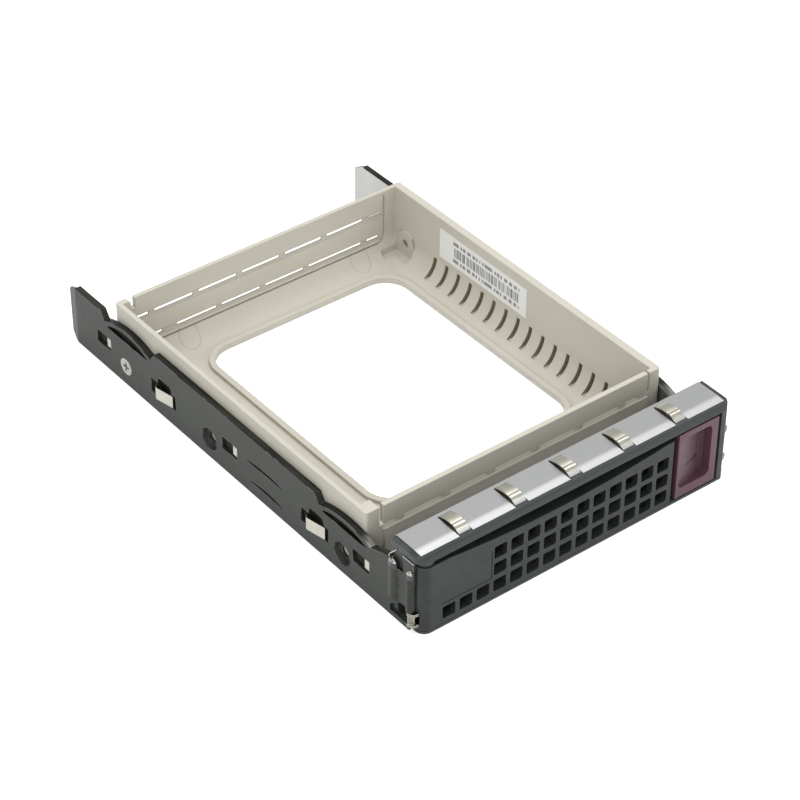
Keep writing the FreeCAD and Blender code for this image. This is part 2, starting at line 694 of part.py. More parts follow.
def build_beads(body, name, side):
    """Two upright beads pressed outwards near the front end."""
    beads = (
        ("bead", BEAD_START, BEAD_WIDTH, TAB_FOOT, NOTCH_TOP),
        ("curl", RAIL_FRONT + CURL_WIDTH, CURL_WIDTH, CURL_TOP, NOTCH_TOP),
    )
    for label, start, width, top, foot in beads:
        middle = start - width * HALF
        outer = [
            ((RAIL_OUT - SHEET_T * HALF) * side, start),
            (RAIL_OUT * side, start),
            via((RAIL_OUT + BEAD_REACH) * side, middle),
            (RAIL_OUT * side, start - width),
            ((RAIL_OUT - SHEET_T * HALF) * side, start - width),
        ]
        slab(body, f"{name}_{label}", "z", foot, top, outer)
        hollow = [
            ((RAIL_IN - BEYOND) * side, start - SHEET_T),
            (RAIL_IN * side, start - SHEET_T),
            via((RAIL_IN + BEAD_INSIDE) * side, middle),
            (RAIL_IN * side, start - width + SHEET_T),
            ((RAIL_IN - BEYOND) * side, start - width + SHEET_T),
        ]
        cut(body, f"{name}_{label}_hollow", "z", foot, top, hollow)


def build_rail_openings(body, name, side):
    """Windows, louvres, the slits under both arches and the notch that the ejector hook leaves by."""
    low, high = spread(side, RAIL_IN - SHEET_T * HALF, RAIL_OUT + BEAD_REACH + SHEET_T)
    windows = (
        ("rear_tab", REAR_TAB_PLACE, TAB_WINDOW, TAB_WINDOW_LOW, TAB_WINDOW_TALL),
        ("middle_tab", MIDDLE_TAB_PLACE, TAB_WINDOW, TAB_WINDOW_LOW, TAB_WINDOW_TALL),
        ("front_tab", FRONT_TAB_PLACE, TAB_WINDOW, TAB_WINDOW_LOW, TAB_WINDOW_TALL),
        ("rear_finger", REAR_FINGER_PLACE, FINGER_WINDOW, FINGER_WINDOW_LOW, FINGER_WINDOW_TALL),
        ("front_finger", FRONT_FINGER_PLACE, FINGER_WINDOW, FINGER_WINDOW_LOW, FINGER_WINDOW_TALL),
    )
    for label, place, length, foot, tall in windows:
        start = from_rear(place)
        corners = box(start - length, start, foot, foot + tall, WINDOW_CORNER)
        cut(body, f"{name}_{label}_window", "x", low, high, corners)
    for label, place in (("rear", REAR_FINGER_PLACE), ("front", FRONT_FINGER_PLACE)):
        start = from_rear(place) - HOOD_START
        foot = FINGER_WINDOW_LOW + FINGER_WINDOW_TALL * HALF
        corners = box(start - HOOD_LENGTH, start, foot, HOOD_TOP, HOOD_CORNER)
        cut(body, f"{name}_{label}_hood", "x", low, high, corners)
    for label, height in (("low", LOW_LOUVRE), ("high", HIGH_LOUVRE)):
        start = from_rear(LOUVRE_PLACE)
        lens = [
            (start, height),
            via(start - LOUVRE_LENGTH * HALF, height + LOUVRE_RISE),
            (start - LOUVRE_LENGTH, height),
        ]
        cut(body, f"{name}_{label}_louvre", "x", low, high, lens)
    arches = (
        ("rear", REAR_ARCH_PLACE, REAR_ARCH_SPAN, REAR_ARCH_TOP),
        ("front", FRONT_ARCH_PLACE, FRONT_ARCH_SPAN, FRONT_ARCH_TOP),
    )
    for label, place, reach, top in arches:
        start = from_rear(place + ARCH_SLIT_INSET)
        end = from_rear(place + reach - ARCH_SLIT_INSET)
        slit = [
            (start, ARCH_SLIT_FLOOR),
            (start, ARCH_FOOT - ARCH_BAND),
            via(from_rear(place + reach * HALF), top - ARCH_BAND),
            (end, ARCH_FOOT - ARCH_BAND),
            (end, ARCH_SLIT_FLOOR),
        ]
        cut(body, f"{name}_{label}_slit", "x", low, high, slit)
    rear_end = RAIL_FRONT + NOTCH_LENGTH
    notch = [
        (rear_end, STRIP_TOP),
        (rear_end, NOTCH_THROAT),
        (rear_end - NOTCH_SLOPE, NOTCH_TOP),
        (RAIL_FRONT - BEYOND, NOTCH_TOP),
        (RAIL_FRONT - BEYOND, -BEYOND),
        (RAIL_FRONT + STRIP_SETBACK, -BEYOND),
        (RAIL_FRONT + STRIP_SETBACK, STRIP_TOP),
    ]
    cut(body, f"{name}_notch", "x", low, high, notch)


def build_cup(body, name, side, place, floor, rim):
    """A dished screw seat that reaches in to the drive's side, wider at its rim."""
    depth = RAIL_IN - INSERT_SIDE
    wall = "PartDesign::AdditiveCone"
    hollow = "PartDesign::SubtractiveCone"
    cone(body, f"{name}_wall", wall, side, INSERT_SIDE, depth, place, floor + SHEET_T, rim + SHEET_T)
    cone(body, f"{name}_dish", hollow, side, INSERT_SIDE + SHEET_T, depth, place, floor, rim)
    low, high = spread(side, INSERT_SIDE - SHEET_T, RAIL_OUT)
    drill(body, f"{name}_hole", "x", low, high, place, HOLE_HEIGHT, SCREW_HOLE)


def build_ground_spring(side, name):
    """A thin comb behind the rail: a band that backs every window, flat tabs and bowed fingers."""
    body = piece(name)
    inner = RAIL_IN - SPRING_T
    low, high = spread(side, inner, RAIL_IN)
    band = box(from_rear(SPRING_END), from_rear(SPRING_START), SPRING_LOW, SPRING_HIGH)
    slab(body, f"{name}_band", "x", low, high, band)
    tab_low, tab_high = spread(side, RAIL_IN - SPRING_T * HALF, RAIL_OUT - SPRING_T)
    for label, place in (("rear", REAR_TAB_PLACE), ("middle", MIDDLE_TAB_PLACE), ("front", FRONT_TAB_PLACE)):
        start, end = from_rear(place), from_rear(place + TAB_WINDOW)
        back = box(end - COVER, start + COVER, TAB_WINDOW_LOW - COVER, SPRING_HIGH)
        slab(body, f"{name}_{label}_tab_back", "x", low, high, back)
        edge = end + GROUND_TAB_INSET
        tab = box(edge, edge + TAB_WIDTH, TAB_LOW, TAB_LOW + GROUND_TAB_TALL)
        slab(body, f"{name}_{label}_tab", "x", tab_low, tab_high, tab)
    for label, place in (("rear", REAR_FINGER_PLACE), ("front", FRONT_FINGER_PLACE)):
        start, end = from_rear(place), from_rear(place + FINGER_WINDOW)
        back = box(end - COVER, start + COVER, FINGER_WINDOW_LOW - COVER, SPRING_HIGH)
        slab(body, f"{name}_{label}_finger_back", "x", low, high, back)
        plan = finger_plan(side, inner, start - FINGER_START)
        slab(body, f"{name}_{label}_finger", "z", FINGER_LOW, FINGER_LOW + FINGER_TALL, plan)
    arches = (
        ("rear", REAR_ARCH_PLACE, REAR_ARCH_SPAN, REAR_ARCH_TOP),
        ("front", FRONT_ARCH_PLACE, FRONT_ARCH_SPAN, FRONT_ARCH_TOP),
    )
    for label, place, reach, top in arches:
        start = from_rear(place + ARCH_SLIT_INSET) + COVER
        end = from_rear(place + reach - ARCH_SLIT_INSET) - COVER
        back = [
            (start, SPRING_HIGH - COVER),
            (start, ARCH_FOOT - ARCH_BAND),
            via(from_rear(place + reach * HALF), top - ARCH_BAND),
            (end, ARCH_FOOT - ARCH_BAND),
            (end, SPRING_HIGH - COVER),
        ]
        slab(body, f"{name}_{label}_arch_back", "x", low, high, back)
    return body


def finger_plan(side, inner, start):
    """A side finger seen from above: out through its window, over a crest and back to its tip."""
    crest = start - FINGER_CREST
    tip = start - FINGER_LENGTH
    swell = RAIL_OUT + FINGER_REACH * FINGER_SWELL
    turn = start - FINGER_CREST * (1 - COS_45)
    return [
        (inner * side, start),
        (RAIL_IN * side, start),
        via(swell * side, turn),
        ((RAIL_OUT + FINGER_REACH) * side, crest),
        (RAIL_OUT * side, tip),
        ((RAIL_OUT - SPRING_T) * side, tip),
        ((RAIL_OUT + FINGER_REACH - SPRING_T) * side, crest - SPRING_T * HALF),
        via((swell - SPRING_T) * side, turn - SPRING_T),
        (RAIL_IN * side, start - SPRING_T),
        (inner * side, start - SPRING_T),
    ]


def build_insert():
    """The moulded stand-in for a drive: tub, coves, floor window, vents, perforated walls, bosses."""
    name = "drive_insert"
    body = piece(name)
    rear = REAR_HOLE + INSERT_BEHIND_HOLE
    front = rear - INSERT_LENGTH
    inner_rear = rear - REAR_WALL
    inner_right = INSERT_SIDE - RIGHT_WALL
    inner_left = -(INSERT_SIDE - LEFT_WALL)
    slab(body, "tub", "z", INSERT_LOW, INSERT_TOP, box(-INSERT_SIDE, INSERT_SIDE, front, rear, INSERT_CORNER))
    hollow = [
        (inner_left, INSERT_TOP + BEYOND),
        (inner_left, FLOOR_TOP, LEFT_COVE),
        (inner_right, FLOOR_TOP, COVE),
        (inner_right, INSERT_TOP + BEYOND),
    ]
    cut(body, "hollow", "y", front + FRONT_WALL, inner_rear, hollow)
    rear_cove = [
        (rear - REAR_WALL * HALF, INSERT_LOW),
        (rear - REAR_WALL * HALF, FLOOR_TOP + COVE),
        (inner_rear, FLOOR_TOP + COVE),
        via(inner_rear - COVE * (1 - COS_45), FLOOR_TOP + COVE * (1 - COS_45)),
        (inner_rear - COVE, FLOOR_TOP),
        (inner_rear - COVE, INSERT_LOW),
    ]
    slab(body, "rear_cove", "x", inner_left - LEFT_WALL * HALF, inner_right + RIGHT_WALL * HALF, rear_cove)
    window_rear = inner_rear - WINDOW_BEHIND
    window_left = WINDOW_OFFSET - WINDOW_WIDTH * HALF
    window_right = WINDOW_OFFSET + WINDOW_WIDTH * HALF
    rim = box(
        window_left - RIM_WIDTH,
        window_right + RIM_WIDTH,
        window_rear - WINDOW_LENGTH - RIM_WIDTH,
        window_rear + RIM_WIDTH,
        WINDOW_ROUND + RIM_WIDTH,
    )
    slab(body, "window_rim", "z", INSERT_LOW, FLOOR_TOP + RIM_RISE, rim)
    window = box(window_left, window_right, window_rear - WINDOW_LENGTH, window_rear, WINDOW_ROUND)
    cut(body, "floor_window", "z", INSERT_LOW - BEYOND, FLOOR_TOP + RIM_RISE + BEYOND, window)
    vent_y = REAR_HOLE - VENT_START
    vent = box(inner_right + RIGHT_WALL - VENT_DEPTH, INSERT_SIDE + BEYOND, VENT_LOW, VENT_TOP)
    slot = cut(body, "vent", "y", vent_y - VENT_WIDTH, vent_y, vent)
    vents = repeat(body, "vents", slot, "Y", VENT_PITCH, VENT_COUNT)
    vents.Reversed = True
    build_bosses(body, inner_left, inner_right)
    build_posts(body, inner_left, front, inner_rear, rear)
    ledge = box(inner_left + POST_WIDTH + POST_SLOT, RIGHT_SLOT, INSERT_LOW, LEDGE_TOP)
    slab(body, "front_ledge", "y", front - LEDGE_PROUD, front + FRONT_WALL * HALF, ledge)
    build_perforations(body, front, inner_rear, rear)
    return body


def build_bosses(body, inner_left, inner_right):
    """An arched flat seat with a pilot hole inside each side wall, where the rear screws bite."""
    seats = ((RIGHT, "right", inner_right), (LEFT, "left", -inner_left))
    for side, label, wall in seats:
        face = wall - BOSS_PROUD
        arch = [
            (REAR_HOLE - BOSS_RADIUS, BOSS_LOW),
            (REAR_HOLE - BOSS_RADIUS, HOLE_HEIGHT),
            via(REAR_HOLE, HOLE_HEIGHT + BOSS_RADIUS),
            (REAR_HOLE + BOSS_RADIUS, HOLE_HEIGHT),
            (REAR_HOLE + BOSS_RADIUS, BOSS_LOW),
        ]
        low, high = spread(side, face, wall + BOSS_PROUD)
        slab(body, f"{label}_boss", "x", low, high, arch)
        low, high = spread(side, face - VENT_DEPTH, face)
        cut(body, f"{label}_boss_face", "x", low, high, arch)
        low, high = spread(side, face - BEYOND, INSERT_SIDE + BEYOND)
        drill(body, f"{label}_pilot", "x", low, high, REAR_HOLE, HOLE_HEIGHT, PILOT)


def build_posts(body, inner_left, front, inner_rear, rear):
    """Corner posts on the left, with the slot beside each one that starts the break-out panel."""
    inner = inner_left + POST_WIDTH
    outer = inner_left - LEFT_WALL * HALF
    inner_front = front + FRONT_WALL
    stub = inner_left + STUB_WIDTH
    stub_plan = box(outer, stub, inner_rear - STUB_DEPTH, inner_rear + REAR_WALL * HALF)
    slab(body, "rear_stub", "z", FLOOR_TOP * HALF, INSERT_TOP, stub_plan)
    shoulder = STUB_ROUND * (1 - COS_45)
    rear_slot = [
        (stub, INSERT_TOP - STUB_SLOT_DEPTH),
        (stub + STUB_SLOT, INSERT_TOP - STUB_SLOT_DEPTH),
        (stub + STUB_SLOT, INSERT_TOP + BEYOND),
        (stub - STUB_ROUND, INSERT_TOP + BEYOND),
        (stub - STUB_ROUND, INSERT_TOP),
        via(stub - shoulder, INSERT_TOP - shoulder),
        (stub, INSERT_TOP - STUB_ROUND),
    ]
    cut(body, "rear_slot", "y", inner_rear - BEYOND, rear + BEYOND, rear_slot)
    post_plan = box(outer, inner, front + FRONT_WALL * HALF, inner_front + POST_DEPTH)
    slab(body, "front_post", "z", FLOOR_TOP * HALF, INSERT_TOP, post_plan)
    slot = box(inner, inner + POST_SLOT, INSERT_TOP - POST_SLOT_DEPTH, INSERT_TOP + BEYOND)
    cut(body, "front_post_slot", "y", front - BEYOND, inner_front, slot)
    slot_low = INSERT_TOP - POST_SLOT_DEPTH
    slot = box(RIGHT_SLOT, RIGHT_SLOT + POST_SLOT * HALF, slot_low, INSERT_TOP + BEYOND)
    cut(body, "front_right_slot", "y", front - BEYOND, front + FRONT_WALL + BEYOND, slot)


def dash(body, name, start, end, left, length, level, tall):
    """One slit of a perforated line through an end wall."""
    return cut(body, name, "y", start, end, box(left, left + length, level, level + tall))


def build_perforations(body, front, inner_rear, rear):
    """Lines of slits through both end walls, and the score that borders the rear panel."""
    walls = (
        ("rear", inner_rear - BEYOND, rear + BEYOND, DASH_LEVEL, DASH_TALL),
        ("front", front - BEYOND, front + FRONT_WALL + BEYOND, FRONT_DASH_LEVEL, FRONT_DASH_TALL),
    )
    bridge = DASH_PITCH - DASH_LENGTH
    for label, start, end, level, tall in walls:
        slit = dash(body, f"{label}_dash", start, end, DASH_START, DASH_LENGTH, level, tall)
        repeat(body, f"{label}_dashes", slit, "X", DASH_PITCH, DASH_COUNT)
        left = DASH_START - bridge - END_DASH
        dash(body, f"{label}_left_dash", start, end, left, END_DASH, level, tall)
        right = DASH_START + DASH_PITCH * DASH_COUNT
        dash(body, f"{label}_right_dash", start, end, right, END_DASH, level, tall)
    start, end = inner_rear - BEYOND, rear + BEYOND
    low = (LOW_DASH_LEVEL, LOW_DASH_TALL)
    slit = dash(body, "low_dash", start, end, LOW_DASH_START, LOW_DASH_LENGTH, *low)
    repeat(body, "low_dashes", slit, "X", LOW_DASH_PITCH, LOW_DASH_COUNT)
    low_left = LOW_DASH_START - WIDE_BRIDGE - END_DASH
    dash(body, "low_left_dash", start, end, low_left, END_DASH, *low)
    long_start = LOW_DASH_START + LOW_DASH_PITCH * LOW_DASH_COUNT
    dash(body, "long_dash", start, end, long_start, LONG_DASH, *low)
    low_right = long_start + LONG_DASH + bridge
    dash(body, "low_right_dash", start, end, low_right, END_DASH, *low)
    score_left = DASH_START - bridge - END_DASH
    thin = inner_rear + DASH_GROOVE + DASH_SKIN
    full = DASH_PITCH * DASH_COUNT + bridge + END_DASH * 2
    lines = (
        ("upper", score_left, full, DASH_LEVEL, DASH_TALL),
        ("lower", low_left, low_right + END_DASH - low_left, *low),
    )
    for label, left, length, level, tall in lines:
        dash(body, f"{label}_relief", thin, end, left, length, level - DASH_RELIEF, tall + DASH_RELIEF)
        ledge = level - DASH_LEDGE
        dash(body, f"{label}_groove", start, inner_rear + DASH_GROOVE, left, length, ledge, tall + DASH_LEDGE)
    score = [
        (score_left, SCORE_LEVEL),
        (SCORE_SIDE + SCORE_WIDTH, SCORE_LEVEL, SCORE_ROUND + SCORE_WIDTH),
        (SCORE_SIDE + SCORE_WIDTH, SCORE_TOP),
        (SCORE_SIDE, SCORE_TOP),
        (SCORE_SIDE, SCORE_LEVEL + SCORE_WIDTH, SCORE_ROUND),
        (score_left, SCORE_LEVEL + SCORE_WIDTH),
    ]
    cut(body, "panel_score", "y", inner_rear - BEYOND, inner_rear + SCORE_DEPTH, score)
    slit = box(SLIT_PLACE, SLIT_PLACE + SLIT_WIDE, SLIT_LOW, SLIT_LOW + SLIT_LENGTH)
    first = cut(body, "upright_slit", "y", inner_rear - BEYOND, rear + BEYOND, slit)
    repeat(body, "upright_slits", first, "Z", SLIT_PITCH, SLIT_COUNT)
    slit_top = SLIT_LOW + SLIT_PITCH * (SLIT_COUNT - 1) + SLIT_LENGTH
    groove = box(SLIT_PLACE, SLIT_PLACE + SLIT_WIDE + DASH_RELIEF * HALF, SLIT_LOW - DASH_RELIEF * HALF, slit_top)
    cut(body, "upright_relief", "y", thin, end, groove)


def beam_profile(rear):
    """The top beam's section, with its long rounded nose."""
    across_nose = FRONT + BEAM_NOSE_RUN * HALF - BEAM_NOSE_BULGE
    up_nose = BEAM_TOP - BEAM_NOSE_DROP * HALF + BEAM_NOSE_BULGE * HALF
    return [
        (FRONT, BEAM_LOW),
        (FRONT, BEAM_TOP - BEAM_NOSE_DROP),
        via(across_nose, up_nose),
        (FRONT + BEAM_NOSE_RUN, BEAM_TOP),
        (rear, BEAM_TOP),
        (rear, BEAM_LOW),
    ]


def corner_plan(side, edge):
    """What a quarter round takes off a front corner of the bezel."""
    return [
        ((edge + BEYOND) * side, FRONT - BEYOND),
        ((edge - KNUCKLE) * side, FRONT - BEYOND),
        ((edge - KNUCKLE) * side, FRONT),
        via((edge - KNUCKLE * (1 - COS_45)) * side, FRONT + KNUCKLE * (1 - COS_45)),
        (edge * side, FRONT + KNUCKLE),
        ((edge + BEYOND) * side, FRONT + KNUCKLE),
    ]


def build_bezel():
    """The moulded frame: top beam, bottom lip, side wall, right post, rear web, hinge ears, guides."""
    body = piece("bezel_frame")
    beam_side = RAIL_OUT - BEAM_SIDE_GAP
    beam_right = RAIL_OUT + BEAM_OVERHANG
    slab(body, "beam", "x", -beam_side, beam_right, beam_profile(BEZEL_REAR))
    cut(body, "beam_corner", "z", BEAM_LOW - BEYOND, BEAM_TOP + BEYOND, corner_plan(LEFT, beam_side))
    cut(body, "right_corner", "z", BEAM_LOW - BEYOND, BEAM_TOP + BEYOND, corner_plan(RIGHT, beam_right))
    lip = [
        (-PIVOT_X, FRONT),
        (RAIL_IN, FRONT),
        (RAIL_IN, BEZEL_REAR),
        (-RAIL_IN, BEZEL_REAR),
        (-RAIL_IN, PIVOT_Y + KNUCKLE),
        (-(PIVOT_X + KNUCKLE), PIVOT_Y + KNUCKLE * HALF),
        (-(PIVOT_X + KNUCKLE), PIVOT_Y),
        via(-(PIVOT_X + KNUCKLE * COS_45), PIVOT_Y - KNUCKLE * COS_45),
    ]
    slab(body, "lip", "z", Formula("0"), LIP, lip)
    web_front = BEZEL_REAR - REAR_WEB
    web = box(-RAIL_IN, RAIL_IN, LIP * HALF, BEAM_TOP - BEAM_NOSE_DROP)
    slab(body, "web", "y", web_front, BEZEL_REAR, web)
    web_window = box(-(PIVOT_X - CAVITY_SIDE), HANDLE_RIGHT - HANDLE_RIM, WEB_LOW, WEB_TOP, HANDLE_RIM)
    cut(body, "web_window", "y", web_front - BEYOND, BEZEL_REAR + BEYOND, web_window)
    wall = box(-RAIL_IN, -(RAIL_IN - SIDE_WALL), FRONT + SIDE_WALL_FRONT, BEZEL_REAR)
    slab(body, "side_wall", "z", LIP * HALF, BEAM_LOW + LIP * HALF, wall)
    hook_way = box(FRONT + HANDLE_SKIN, web_front, STRIP_TOP, NOTCH_TOP + PIN_FIT)
    cut(body, "hook_way", "x", -(RAIL_IN + BEYOND), -(RAIL_IN - SIDE_WALL - BEYOND), hook_way)
    post_inner = POST_X - POST_INNER
    post = [
        (post_inner, FRONT),
        (POST_X, FRONT, HANDLE_BEVEL),
        (POST_X, FRONT + POST_FRONT),
        (RAIL_IN, FRONT + POST_FRONT),
        (RAIL_IN, BEZEL_REAR),
        (post_inner, BEZEL_REAR),
    ]
    slab(body, "right_post", "z", LIP * HALF, BEAM_LOW + LIP * HALF, post)
    foot = [
        (post_inner, FRONT),
        (beam_right - POST_FRONT, FRONT),
        via(beam_right - POST_FRONT * (1 - COS_45), FRONT + POST_FRONT * (1 - COS_45)),
        (beam_right, FRONT + POST_FRONT),
        (beam_right, FRONT + FOOT_DEPTH),
        (RAIL_OUT + SHEET_T * HALF, FRONT + FOOT_DEPTH),
        (RAIL_OUT + SHEET_T * HALF, FRONT + POST_FRONT),
        (post_inner, FRONT + POST_FRONT),
    ]
    slab(body, "right_foot", "z", Formula("0"), FOOT_TOP, foot)
    guide_front = FRONT + GUIDE_SETBACK
    guides = (
        ("low_guide", LIP * HALF, LATCH_LOW - LATCH_GAP),
        ("high_guide", LATCH_TOP + LATCH_GAP, BEAM_LOW + LIP * HALF),
    )
    for name, low, high in guides:
        plan = box(LATCH_LEFT, post_inner + POST_INNER * HALF, guide_front, guide_front + GUIDE_DEPTH)
        slab(body, name, "z", low, high, plan)
    rod(body, "top_ear", "z", HANDLE_TOP + EAR_GAP, BEAM_LOW + LIP * HALF, -PIVOT_X, PIVOT_Y, EAR_RADIUS)
    bore = PIN + PIN_FIT
    drill(body, "low_pin_hole", "z", -BEYOND, LIP + BEYOND * HALF, -PIVOT_X, PIVOT_Y, bore)
    drill(body, "top_pin_hole", "z", HANDLE_TOP - HANDLE_RIM, PIN_TOP + PIN_FIT, -PIVOT_X, PIVOT_Y, bore)
    return body


def grille_hole(middle, level):
    """One square hole of the grille with its corners taken off."""
    left, right = middle - GRILLE_WIDE * HALF, middle + GRILLE_WIDE * HALF
    low, high = level - GRILLE_TALL * HALF, level + GRILLE_TALL * HALF
    return [
        (left + GRILLE_TRIM, low),
        (right - GRILLE_TRIM, low),
        (right, low + GRILLE_TRIM),
        (right, high - GRILLE_TRIM),
        (right - GRILLE_TRIM, high),
        (left + GRILLE_TRIM, high),
        (left, high - GRILLE_TRIM),
        (left, low + GRILLE_TRIM),
    ]


def build_handle():
    """The grille lever: a channel hinged at its left end, with three rows of square holes."""
    body = piece("handle")
    handle_rear = FRONT + HANDLE_DEPTH
    plan = [
        (-PIVOT_X, FRONT),
        (HANDLE_RIGHT, FRONT, HANDLE_BEVEL),
        (HANDLE_RIGHT, handle_rear),
        (-PIVOT_X, handle_rear),
        (-PIVOT_X, PIVOT_Y + KNUCKLE),
        via(-(PIVOT_X + KNUCKLE), PIVOT_Y),
    ]
    slab(body, "channel", "z", HANDLE_LOW, HANDLE_TOP, plan)
    inside = box(
        -(PIVOT_X - CAVITY_SIDE + HANDLE_BEVEL),
        HANDLE_RIGHT - HANDLE_RIM,
        HANDLE_LOW + HANDLE_RIM,
        HANDLE_TOP - HANDLE_TOP_RIM,
    )
    cut(body, "channel_inside", "y", FRONT + HANDLE_SKIN, handle_rear + BEYOND, inside)
    dip = [
        (-(PIVOT_X - DIP_INSET), HANDLE_TOP),
        via((HANDLE_RIGHT - PIVOT_X) * HALF, HANDLE_TOP - HANDLE_DIP),
        (HANDLE_RIGHT - DIP_INSET * HALF, HANDLE_TOP),
        (HANDLE_RIGHT - DIP_INSET * HALF, HANDLE_TOP + BEYOND),
        (-(PIVOT_X - DIP_INSET), HANDLE_TOP + BEYOND),
    ]
    cut(body, "top_dip", "y", FRONT - BEYOND, handle_rear + BEYOND, dip)
    cavity = [
        (-(PIVOT_X - CAVITY_SIDE), FRONT + CAVITY_SKIN),
        (-(PIVOT_X + CAVITY_SKIN), FRONT + CAVITY_SKIN),
        (-(PIVOT_X + HANDLE_SKIN), FRONT + CAVITY_SKIN + CAVITY_SKIN),
        (-(PIVOT_X + CAVITY_SIDE), FRONT + CAVITY_SKIN + CAVITY_SKIN),
        (-(PIVOT_X + CAVITY_SIDE), handle_rear + BEYOND),
        (-(PIVOT_X - CAVITY_SIDE), handle_rear + BEYOND),
    ]
    cut(body, "hook_cavity", "z", CAVITY_LOW, CAVITY_TOP, cavity)
    drill(body, "pin_bore", "z", HANDLE_LOW - BEYOND, HANDLE_TOP + BEYOND, -PIVOT_X, PIVOT_Y, PIN + PIN_FIT)
    low_start, low_end = FRONT - BEYOND, FRONT + HANDLE_SKIN + BEYOND
    hole = grille_hole(GRILLE_X, GRILLE_Z)
    first = cut(body, "low_hole", "y", low_start, low_end, hole)
    repeat(body, "low_row", first, "X", GRILLE_PITCH, LOW_ROW)
    start = GRILLE_X + GRILLE_PITCH * (LOW_ROW - HIGH_ROW)
    level = GRILLE_Z + GRILLE_RISE
    hole = grille_hole(start, level)
    first = cut(body, "high_hole", "y", low_start, low_end, hole)
    repeat(body, "high_rows", first, "X", GRILLE_PITCH, HIGH_ROW, ("Z", GRILLE_RISE, HIGH_ROWS))
    groove = [
        (GROOVE_END, GROOVE_LOW),
        (GROOVE_X + GROOVE_WIDE, GROOVE_LOW),
        (GROOVE_X + GROOVE_WIDE, GROOVE_TOP),
        (GROOVE_X, GROOVE_TOP),
        (GROOVE_X, GROOVE_LOW + GROOVE_WIDE),
        (GROOVE_END, GROOVE_LOW + GROOVE_WIDE),
    ]
    cut(body, "panel_groove", "y", FRONT - BEYOND, FRONT + GROOVE_DEEP, groove)
    return body


def hook_plan():
    """The ejector hook's leaf: a hub round the pin and a nose that reaches out past the rail."""
    return [
        (-(PIVOT_X - HOOK_HUB), PIVOT_Y - HOOK_HUB, HOOK_ROUND),
        (-(PIVOT_X + HOOK_SHOULDER), PIVOT_Y - HOOK_FRONT, HOOK_ROUND),
        (-(PIVOT_X + HOOK_REACH), PIVOT_Y + HOOK_TIP, HOOK_ROUND),
        (-(PIVOT_X + HOOK_SHOULDER - HOOK_ROUND), PIVOT_Y + HOOK_BACK, HOOK_ROUND),
        (-(PIVOT_X - HOOK_HUB), PIVOT_Y + HOOK_BACK, HOOK_ROUND),
    ]


def build_hook():
    """The folded steel hook: two leaves on the hinge pin, joined by a web at the nose."""
    body = piece("ejector_hook")
    slab(body, "low_leaf", "z", HOOK_LOW, HOOK_LOW + HOOK_SHEET, hook_plan())
    web = [
        (-(PIVOT_X + HOOK_SHOULDER - HOOK_ROUND), PIVOT_Y - HOOK_FRONT + HOOK_ROUND * HALF),
        (-(PIVOT_X + HOOK_REACH - HOOK_ROUND * HALF), PIVOT_Y + HOOK_TIP - HOOK_ROUND * HALF),
        (-(PIVOT_X + HOOK_REACH - HOOK_ROUND - HOOK_SHEET), PIVOT_Y + HOOK_TIP),
        (-(PIVOT_X + HOOK_SHOULDER - HOOK_ROUND - HOOK_SHEET), PIVOT_Y - HOOK_FRONT + HOOK_ROUND),
    ]
    slab(body, "nose_web", "z", HOOK_LOW + HOOK_SHEET * HALF, HOOK_TOP - HOOK_SHEET * HALF, web)
    slab(body, "top_leaf", "z", HOOK_TOP - HOOK_SHEET, HOOK_TOP, hook_plan())
    drill(body, "hook_bore", "z", HOOK_LOW - BEYOND, HOOK_TOP + BEYOND, -PIVOT_X, PIVOT_Y, PIN + PIN_FIT)
    return body


def build_pin():
    """The steel pin that carries the handle and the hook."""
    body = piece("hinge_pin")
    rod(body, "pin_rod", "z", PIN_LOW, PIN_TOP, -PIVOT_X, PIVOT_Y, PIN)
    return body


def build_latch():
    """The sliding release latch, with a wedge-shaped thumb pocket and a tongue."""
    body = piece("release_latch")
    latch_rear = FRONT + LATCH_DEPTH
    block = box(LATCH_LEFT, LATCH_RIGHT, FRONT, latch_rear)
    slab(body, "latch_block", "z", LATCH_LOW, LATCH_TOP, block)
    left, right = LATCH_LEFT + THUMB_LEFT, LATCH_RIGHT - THUMB_RIGHT
    low, high = LATCH_LOW + THUMB_LOW, LATCH_TOP - THUMB_TOP
    floor = FRONT + THUMB_DEEP
    cut(body, "thumb_pocket", "y", FRONT - BEYOND, floor, box(left, right, low, high, THUMB_ROUND))
    ramp = [
        (left - THUMB_LEFT * HALF, FRONT + THUMB_SHALLOW),
        (right - THUMB_ROUND, floor),
        (right - THUMB_ROUND, floor + HANDLE_BEVEL),
        (left - THUMB_LEFT * HALF, floor + HANDLE_BEVEL),
    ]
    slab(body, "thumb_ramp", "z", low - THUMB_LEFT * HALF, high + THUMB_LEFT * HALF, ramp)
    tongue_front = FRONT + TONGUE_BACK
    tongue = [
        (LATCH_LEFT + TONGUE, tongue_front),
        (LATCH_LEFT - TONGUE, tongue_front + TONGUE_DEPTH * HALF),
        (LATCH_LEFT - TONGUE, tongue_front + TONGUE_DEPTH),
        (LATCH_LEFT + TONGUE, tongue_front + TONGUE_DEPTH),
    ]
    slab(body, "tongue", "z", TONGUE_LOW, TONGUE_TOP, tongue)
    return body


def bow_profile(front, rear, base, rise, sheet):
    """A thin strip rooted at its rear, over a crest and down to a free tip at the front."""
    crest = rear - BOW_CREST
    return [
        (rear + BOW_ROOT, base),
        (rear, base),
        via(crest, base + rise - sheet),
        (front, base),
        (front, base + sheet * HALF),
        via(crest, base + rise),
        (rear, base + sheet),
        (rear + BOW_ROOT, base + sheet),
    ]


